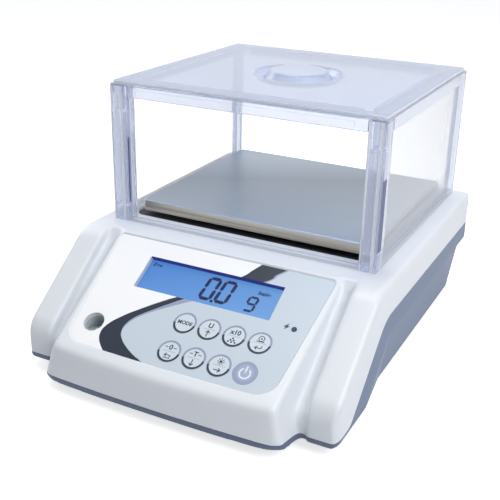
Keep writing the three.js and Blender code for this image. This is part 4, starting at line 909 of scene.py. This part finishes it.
key_radius, power_radius = 7.4, 7.5
key_gap = 0.08
key_openings = [(radius + key_gap, 64) for radius in [key_radius] * 7 + [power_radius]]
for name, finish, code, start, stop in (
        ("film_white", "white", "#FBFCFD", None, sweep_left),
        ("film_navy", "navy", "#1F2A3B", sweep_left, sweep_middle),
        ("film_lilac", "lilac", "#98A2BC", sweep_middle, sweep_right),
        ("film_pale", "pale_blue", "#C8D4DE", sweep_right, None)):
    tile = on_console(film_prism(0, film_foot, film_top), name)
    if stop:
        combine(tile, left_of(stop), "INTERSECT")
    if start:
        cut(tile, left_of(start))
    cut(tile, *console_holes(0.1, (1.7, 24), key_openings, -3, 2))
    dress(tile, printed_film(f"printed_polyester_{finish}", code), "base", "film",
          "keypad_overlay")

# Keys: eight discs of the film's own polyester over tact switches, each with a printed ring,
# thin above and thick below, and its sign. The power key is lilac with a white sign.
key_names = [["mode", "unit", "times_ten", "print"], ["zero", "tare", "light", "power"]]
key_foot, key_top, ink_top = -1.45, -0.84, -0.81
stem_radius, stem_foot = 2.2, -9.0


def gather(target, shape):
    """Adds a shape to another and uses it up."""
    spare = bpy.data.meshes.new("spare")
    shape.to_mesh(spare)
    shape.free()
    target.from_mesh(spare)
    bpy.data.meshes.remove(spare)
    return target


def arc(inner, outer, x, y, z0, z1, start, sweep, steps=40):
    """A flat printed arc; angles in degrees, counterclockwise from the right."""
    shape = bmesh.new()
    corners = [(inner, z0), (outer, z0), (outer, z1), (inner, z1)]
    face = shape.faces.new([shape.verts.new((r, 0, z)) for r, z in corners])
    rotate(shape, start)
    if sweep == 360:
        bmesh.ops.delete(shape, geom=[face], context="FACES_ONLY")
    bmesh.ops.spin(shape, geom=[*shape.faces, *shape.edges, *shape.verts], cent=(0, 0, 0),
                   axis=(0, 0, 1), angle=math.radians(sweep), steps=steps,
                   use_merge=sweep == 360)
    move(shape, x, y, 0)
    return shape


def stroke(points, width, z0=key_top, z1=ink_top):
    """A drawn line through points, with round ends."""
    line = bmesh.new()
    for (ax, ay), (bx, by) in zip(points, points[1:]):
        dash = block(0, math.dist((ax, ay), (bx, by)), -width / 2, width / 2, z0, z1)
        rotate(dash, math.degrees(math.atan2(by - ay, bx - ax)))
        move(dash, ax, ay, 0)
        gather(line, dash)
    for x, y in points:
        gather(line, round_bar(width / 2, x, y, z0, z1, 12))
    return line


def lettering(words, size, x, y, z0=key_top, z1=ink_top):
    """Printed letters, centred on a place."""
    curve = bpy.data.curves.new("words", "FONT")
    curve.body = words
    curve.size = size
    curve.align_x = "CENTER"
    curve.align_y = "CENTER"
    curve.extrude = (z1 - z0) / 2
    curve.offset = 0.03 * size
    carrier = bpy.data.objects.new("words", curve)
    scene.collection.objects.link(carrier)
    mesh = bpy.data.meshes.new_from_object(carrier)
    bpy.data.objects.remove(carrier)
    shape = bmesh.new()
    shape.from_mesh(mesh)
    bpy.data.meshes.remove(mesh)
    bmesh.ops.remove_doubles(shape, verts=shape.verts, dist=0.0001)
    move(shape, x, y, (z0 + z1) / 2)
    return shape


def shifted(points, x, y):
    return [(a + x, b + y) for a, b in points]


# Signs, in mm from a key's middle: words with size and height, lines with width, dots with
# radius and sides, rings, and arrows with height and turn, where 0 points up.
sign_words = {"mode": ("MODE", 3.5, 0), "unit": ("U", 4.6, 2.6), "times_ten": ("x10", 4.4, 2.5),
              "zero": ("0", 4.6, 2.7), "tare": ("T", 4.6, 2.7)}
dashes = [([(-3.7, 2.7), (-2.0, 2.7)], 0.5), ([(2.0, 2.7), (3.7, 2.7)], 0.5)]
rays = [([(-r * math.sin(turn), 2.7 + r * math.cos(turn)) for r in (1.3, 2.3)], 0.4)
        for turn in [math.radians(45 * i) for i in range(8)]]
sign_lines = {
    "print": [([(-2.4, 0.9), (2.4, 0.9)], 0.45), ([(2.2, -1.6), (2.2, -3.4), (-1.6, -3.4)], 0.5),
              ([(-0.6, -2.3), (-1.9, -3.4), (-0.6, -4.5)], 0.5)],
    "zero": [*dashes, ([(-1.8, -4.6), (2.0, -4.6), (2.0, -2.6), (-1.6, -2.6)], 0.5),
             ([(-0.6, -1.5), (-1.9, -2.6), (-0.6, -3.7)], 0.5)],
    "tare": dashes, "light": rays, "power": [([(0, 0.2), (0, 4.2)], 1.1)]}
sign_dots = {"times_ten": [(x, y, 0.62, 16) for x, y in (
    (0, -1.6), (-1.1, -2.9), (1.1, -2.9), (-2.2, -4.2), (0, -4.2), (2.2, -4.2))],
    "print": [(0, 2.9, 0.55, 16)], "light": [(0, 2.7, 0.9, 20)]}
sign_rings = {"print": (1.5, 2.0, 2.9, 0, 360), "power": (2.75, 3.75, -0.3, 125, 290)}
sign_arrows = {"unit": (-3.0, 0), "tare": (-3.0, 180), "light": (-3.1, -90)}
arrow_lines = [[(0, -2.0), (0, 2.0)], [(-1.2, 0.7), (0, 2.0), (1.2, 0.7)]]


def sign(name, x, y, lift=0):
    """The sign printed on a key."""
    ink = bmesh.new()
    z0, z1 = key_top + lift, ink_top + lift
    if name in sign_words:
        words, size, rise = sign_words[name]
        gather(ink, lettering(words, size, x, y + rise))
    for points, width in sign_lines.get(name, ()):
        gather(ink, stroke(shifted(points, x, y), width, z0, z1))
    for a, b, radius, sides in sign_dots.get(name, ()):
        gather(ink, round_bar(radius, x + a, y + b, z0, z1, sides))
    if name in sign_rings:
        inner, outer, rise, start, sweep = sign_rings[name]
        gather(ink, arc(inner, outer, x, y + rise, z0, z1, start, sweep))
    if name in sign_arrows:
        rise, turn = sign_arrows[name]
        for points in arrow_lines:
            arrow = stroke(points, 0.6)
            rotate(arrow, turn)
            move(arrow, x, y + rise, 0)
            gather(ink, arrow)
    return ink


key_fill = printed_film("printed_polyester_key", "#D2DCE5")
key_lilac = printed_film("printed_polyester_key_lilac", "#98A3C0")
key_pale_lilac = printed_film("printed_polyester_key_pale_lilac", "#A5B0C9")
ink_thick = printed_film("printed_ink_slate", "#303B4E")
ink_thin = printed_film("printed_ink_grey_lilac", "#929CB6")
ink_white = printed_film("printed_ink_white", "#E8ECF5")
for j, s in enumerate(key_rows):
    for i, x in enumerate(key_columns):
        name = key_names[j][i]
        body, node, slot = f"{name}_key", f"key_{name}", "power_key" if name == "power" else "film"
        radius = power_radius if name == "power" else key_radius
        disc = round_bar(radius, x, -s, key_foot, key_top, 64)
        soften(disc, top_face(disc).edges, 0.12, 2)
        stem = round_bar(stem_radius, x, -s, stem_foot, key_foot - 0.001, 24)
        dress(on_console(gather(disc, stem), node + "_disc"),
              key_lilac if name == "power" else key_fill, body, slot, node)
        if name == "power":
            prints = [("ring", round_bar(5.3, x, -s, key_top, key_top + 0.015, 64), key_pale_lilac),
                      ("sign", sign(name, x, -s, 0.01), ink_white)]
        else:
            prints = [("lower_ring", arc(6.0, 7.36, x, -s, key_top, ink_top, 186, 170), ink_thick),
                      ("upper_ring", arc(6.2, 7.34, x, -s, key_top, ink_top - 0.005, -4, 192),
                       ink_thin)]
            if name != "mode":
                prints.append(("bar", stroke([(x - 4.2, -s), (x + 4.2, -s)], 0.22), ink_thin))
            prints.append(("sign", sign(name, x, -s), ink_thick))
        for part, shape, ink in prints:
            dress(on_console(shape, f"{node}_{part}"), ink, body, slot)

# Charging sign: a small flash printed on the film beside the lamp, and the lamp, a dark violet
# lens of polycarbonate in its hole.
flash_x, flash_y = 60.3, -38.1
flash_side = [(1.1, 2.4), (-2.0, -0.4), (-0.4, -0.4), (-1.1, -2.4), (2.0, 0.4), (0.5, 0.4)]
flash, _, _ = plan_prism([(flash_x + a, flash_y + b, 0) for a, b in flash_side], film_top,
                         film_top + 0.03)
dress(on_console(flash, "charging_sign"), ink_thick, "base", "film")
lens = grained("moulded_violet_lens", {"IOR": 1.58, "Specular IOR Level": 0.25}, "#23265E", 0.3,
               1.0, 0.01)
coat(lens, "charge_led")

# Display: a lit blue cell behind a clear window, with dark liquid-crystal figures. Along the upper
# wall of the window a dark violet strip is painted shadow, where the wall shades the cell.
cell_top, figure_top = -4.68, -4.6
backlit, tree, shader = start_material(
    "backlit_blue_cell",
    {"Base Color": colour("#1C3A70"), "Roughness": 0.35, "Specular IOR Level": 0.2})
run = add_node(tree, "VectorMath", {0: own_place(tree), 1: (6.3, -14.0, -8.1)},
               operation="DOT_PRODUCT").outputs["Value"]
tone = mixed(tree, ramp(tree, run, 0.146, 1.146), colour("#4F86CE"), colour("#7AAEE2"))
feed(shader, {"Emission Color": tone, "Emission Strength": 0.9})
coat(backlit, "display_glass")

# painted shadow: a dark violet strip along the window's upper wall
painted_bezel_shadow = block(window_left - 0.05, window_right + 0.05, window_head + 0.02, window_head + 0.28,
               -4.6, -1.0)
bezel_shadow_violet = moulded_abs("painted_bezel_shadow_violet", "#3B3FA6", 0.6)
dress(on_console(painted_bezel_shadow, "window_painted_shadow"), bezel_shadow_violet, "base", "black_abs")

window_clear, tree, shader = start_material(
    "cut_clear_window", {"Base Color": colour("#24365E"), "IOR": 1.49, "Alpha": 0.06})
uneven_gloss(tree, shader, 40.0, 0.08, 0.16)
coat(window_clear, "display_window")

figure_ink = printed_film("liquid_crystal_figures", "#0A1C58")


def figure(lit, x, y, width, height, bar, lean=0.1):
    """A seven-segment figure; lit names its segments a to g."""
    shape = bmesh.new()
    half = height / 2
    places = {"a": (width / 2, height, 0), "d": (width / 2, 0, 0), "g": (width / 2, half, 0),
              "f": (0, half * 1.5, 90), "b": (width, half * 1.5, 90), "e": (0, half / 2, 90),
              "c": (width, half / 2, 90)}
    for name in lit:
        a, b, turn = places[name]
        reach = (half if turn else width) / 2 - 0.1
        side = [(-reach, 0), (-reach + bar / 2, -bar / 2), (reach - bar / 2, -bar / 2),
                (reach, 0), (reach - bar / 2, bar / 2), (-reach + bar / 2, bar / 2)]
        segment, _, _ = plan_prism([(p, q, 0) for p, q in side], cell_top, figure_top)
        rotate(segment, turn)
        move(segment, a, b, 0)
        gather(shape, segment)
    bmesh.ops.transform(shape, matrix=Matrix(((1, lean, 0, x), (0, 1, 0, y), (0, 0, 1, 0),
                                              (0, 0, 0, 1))), verts=shape.verts)
    return shape


figures = figure("abcdef", -3.3, -31.2, 7.2, 15.6, 2.3)
for shape in (round_bar(1.1, 5.8, -31.9, cell_top, figure_top, 16),
              figure("abcdef", 7.6, -31.2, 7.2, 15.6, 2.3),
              figure("abcdfg", 28.0, -32.2, 5.6, 10.0, 1.6, 0.08),
              lettering("Stable", 3.6, 36.4, -18.2, cell_top, figure_top),
              lettering("Zero", 3.2, -41.5, -15.4, cell_top, figure_top)):
    gather(figures, shape)
dress(on_console(figures, "display_figures"), figure_ink, "base", "lcd")

lamp_white = moulded_abs("moulded_white_light_guide", "#EDEFF2", 0.4)
coat(lamp_white, "display_backlight")

# Level: a bull's-eye spirit level in a pale cup, seen through the round hole. The liquid is
# grey-green, with a grey ring on its cover and an air bubble.
level_x, level_y, vial_top = level_place[0], -116.5, 34.3
level_cup_white = moulded_abs("moulded_pale_grey_abs", "#C3C9CC", 0.4)
coat(level_cup_white, "level_cup")
sleeve = on_console(arc(6.75, 8.0, level_place[0], -level_place[1], -14, -4.45, 0, 360, 48),
                    "level_sleeve")
cut(sleeve, round_bar(8.0, level_x, level_y, 20, 34.65, 48))
dress(sleeve, level_cup_white, "base", "white_plastic")
liquid = grained("spirit_level_liquid", {"IOR": 1.36}, "#98A3A6", 0.12, 2.0, 0.01, 0.05)
coat(liquid, "level_vial")
level_ring = arc(2.4, 2.8, level_x, level_y, vial_top, vial_top + 0.05, 0, 360)
dress(mesh_piece(level_ring, "level_ring"), ink_thin, "base", "white_plastic")
bubble_radius, bubble_flatness = 1.7, 0.15
bubble = bmesh.new()
bmesh.ops.create_uvsphere(bubble, u_segments=24, v_segments=12, radius=bubble_radius)
bmesh.ops.scale(bubble, vec=(1, 1, bubble_flatness), verts=bubble.verts)
move(bubble, level_x, level_y, vial_top + 0.1)
air = moulded_abs("air_bubble_highlight", "#C9D2D4", 0.15)
dress(mesh_piece(bubble, "level_bubble"), air, "base", "white_plastic")

# Boards and battery, inside the tray: green solder mask on glass epoxy, and a black ABS
# battery case.
board = grained("solder_mask_on_glass_epoxy", {"IOR": 1.5}, "#1F5A3A", 0.35, 1.5, 0.04, 0.2)
coat(board, "control_board", "main_board")
coat(black_abs, "battery")

# Sockets at the back: a black power inlet with its pin, and a nine-pin serial port in a
# pressed steel shell.
coat(black_abs, "dc_jack")
coat(zinc, "serial_port")
brass = grained("gold_plated_brass", {"Metallic": 1.0}, "#D9B56A", 0.3, 0.8, 0.01, 0.04)
dress(mesh_piece(lying_bar(0.95, jack_x, socket_z, 104.3, 111.5), "jack_pin"), brass, "base",
      "steel")
insert = block(serial_x - 7.6, serial_x + 7.6, 109.75, 110.4, socket_z - 3.4, socket_z + 3.4)
dress(mesh_piece(insert, "serial_insert"), black_abs, "base", "black_abs")
pin_pitch = 2.77
pins = bmesh.new()
for count, z in ((5, 1.4), (4, -1.4)):
    for i in range(count):
        x = serial_x + pin_pitch * (i - (count - 1) / 2)
        gather(pins, lying_bar(0.5, x, socket_z + z, 110.3, 113.8))
dress(mesh_piece(pins, "serial_pins"), brass, "base", "steel")

# Feet: thumb wheels of blue-grey ABS, ribbed for the fingers, on threaded stems that screw into
# the tray, each with a rubber pad that stays still while the wheel turns.
wheel_radius, wheel_foot, wheel_top, rib_depth = 9.5, 2.2, 6.2, 0.35
pad_radius, pad_top = 8.5, 1.9
thread_turns, thread_foot, thread_top = 12, 6.6, 18.7

for number, (x, y) in enumerate(foot_places, 1):
    wheel = round_bar(wheel_radius, x, y, wheel_foot, wheel_top, 72)
    ribs = sorted((face for face in wheel.faces if len(face.verts) == 4),
                  key=lambda face: math.atan2(face.calc_center_median().y - y,
                                              face.calc_center_median().x - x))[::2]
    bmesh.ops.inset_individual(wheel, faces=ribs, thickness=0.1, depth=-rib_depth)
    stem_side = [(0, wheel_top - 0.1, 0), (2.6, wheel_top - 0.1, 0)]
    for turn in range(thread_turns):
        stem_side += [(3.0, thread_foot + turn, 0), (2.5, thread_foot + turn + 0.5, 0)]
    stem_side += [(2.4, thread_top, 0), (0, thread_top, 0)]
    stem = turned(stem_side, 24)
    move(stem, x, y, 0)
    dress(mesh_piece(gather(wheel, stem), f"foot_wheel_{number}"), grey_abs,
          f"foot_{number}_screw", "grey_abs", f"foot_screw_{number}")
    pad = round_bar(pad_radius, x, y, 0, pad_top, 48)
    soften(pad, [edge for edge in pad.edges if edge.calc_face_angle(0) > 1], 0.5, 3)
    dress(mesh_piece(pad, f"foot_pad_{number}_rubber"), rubber, f"foot_{number}_pad", "rubber",
          f"foot_pad_{number}")
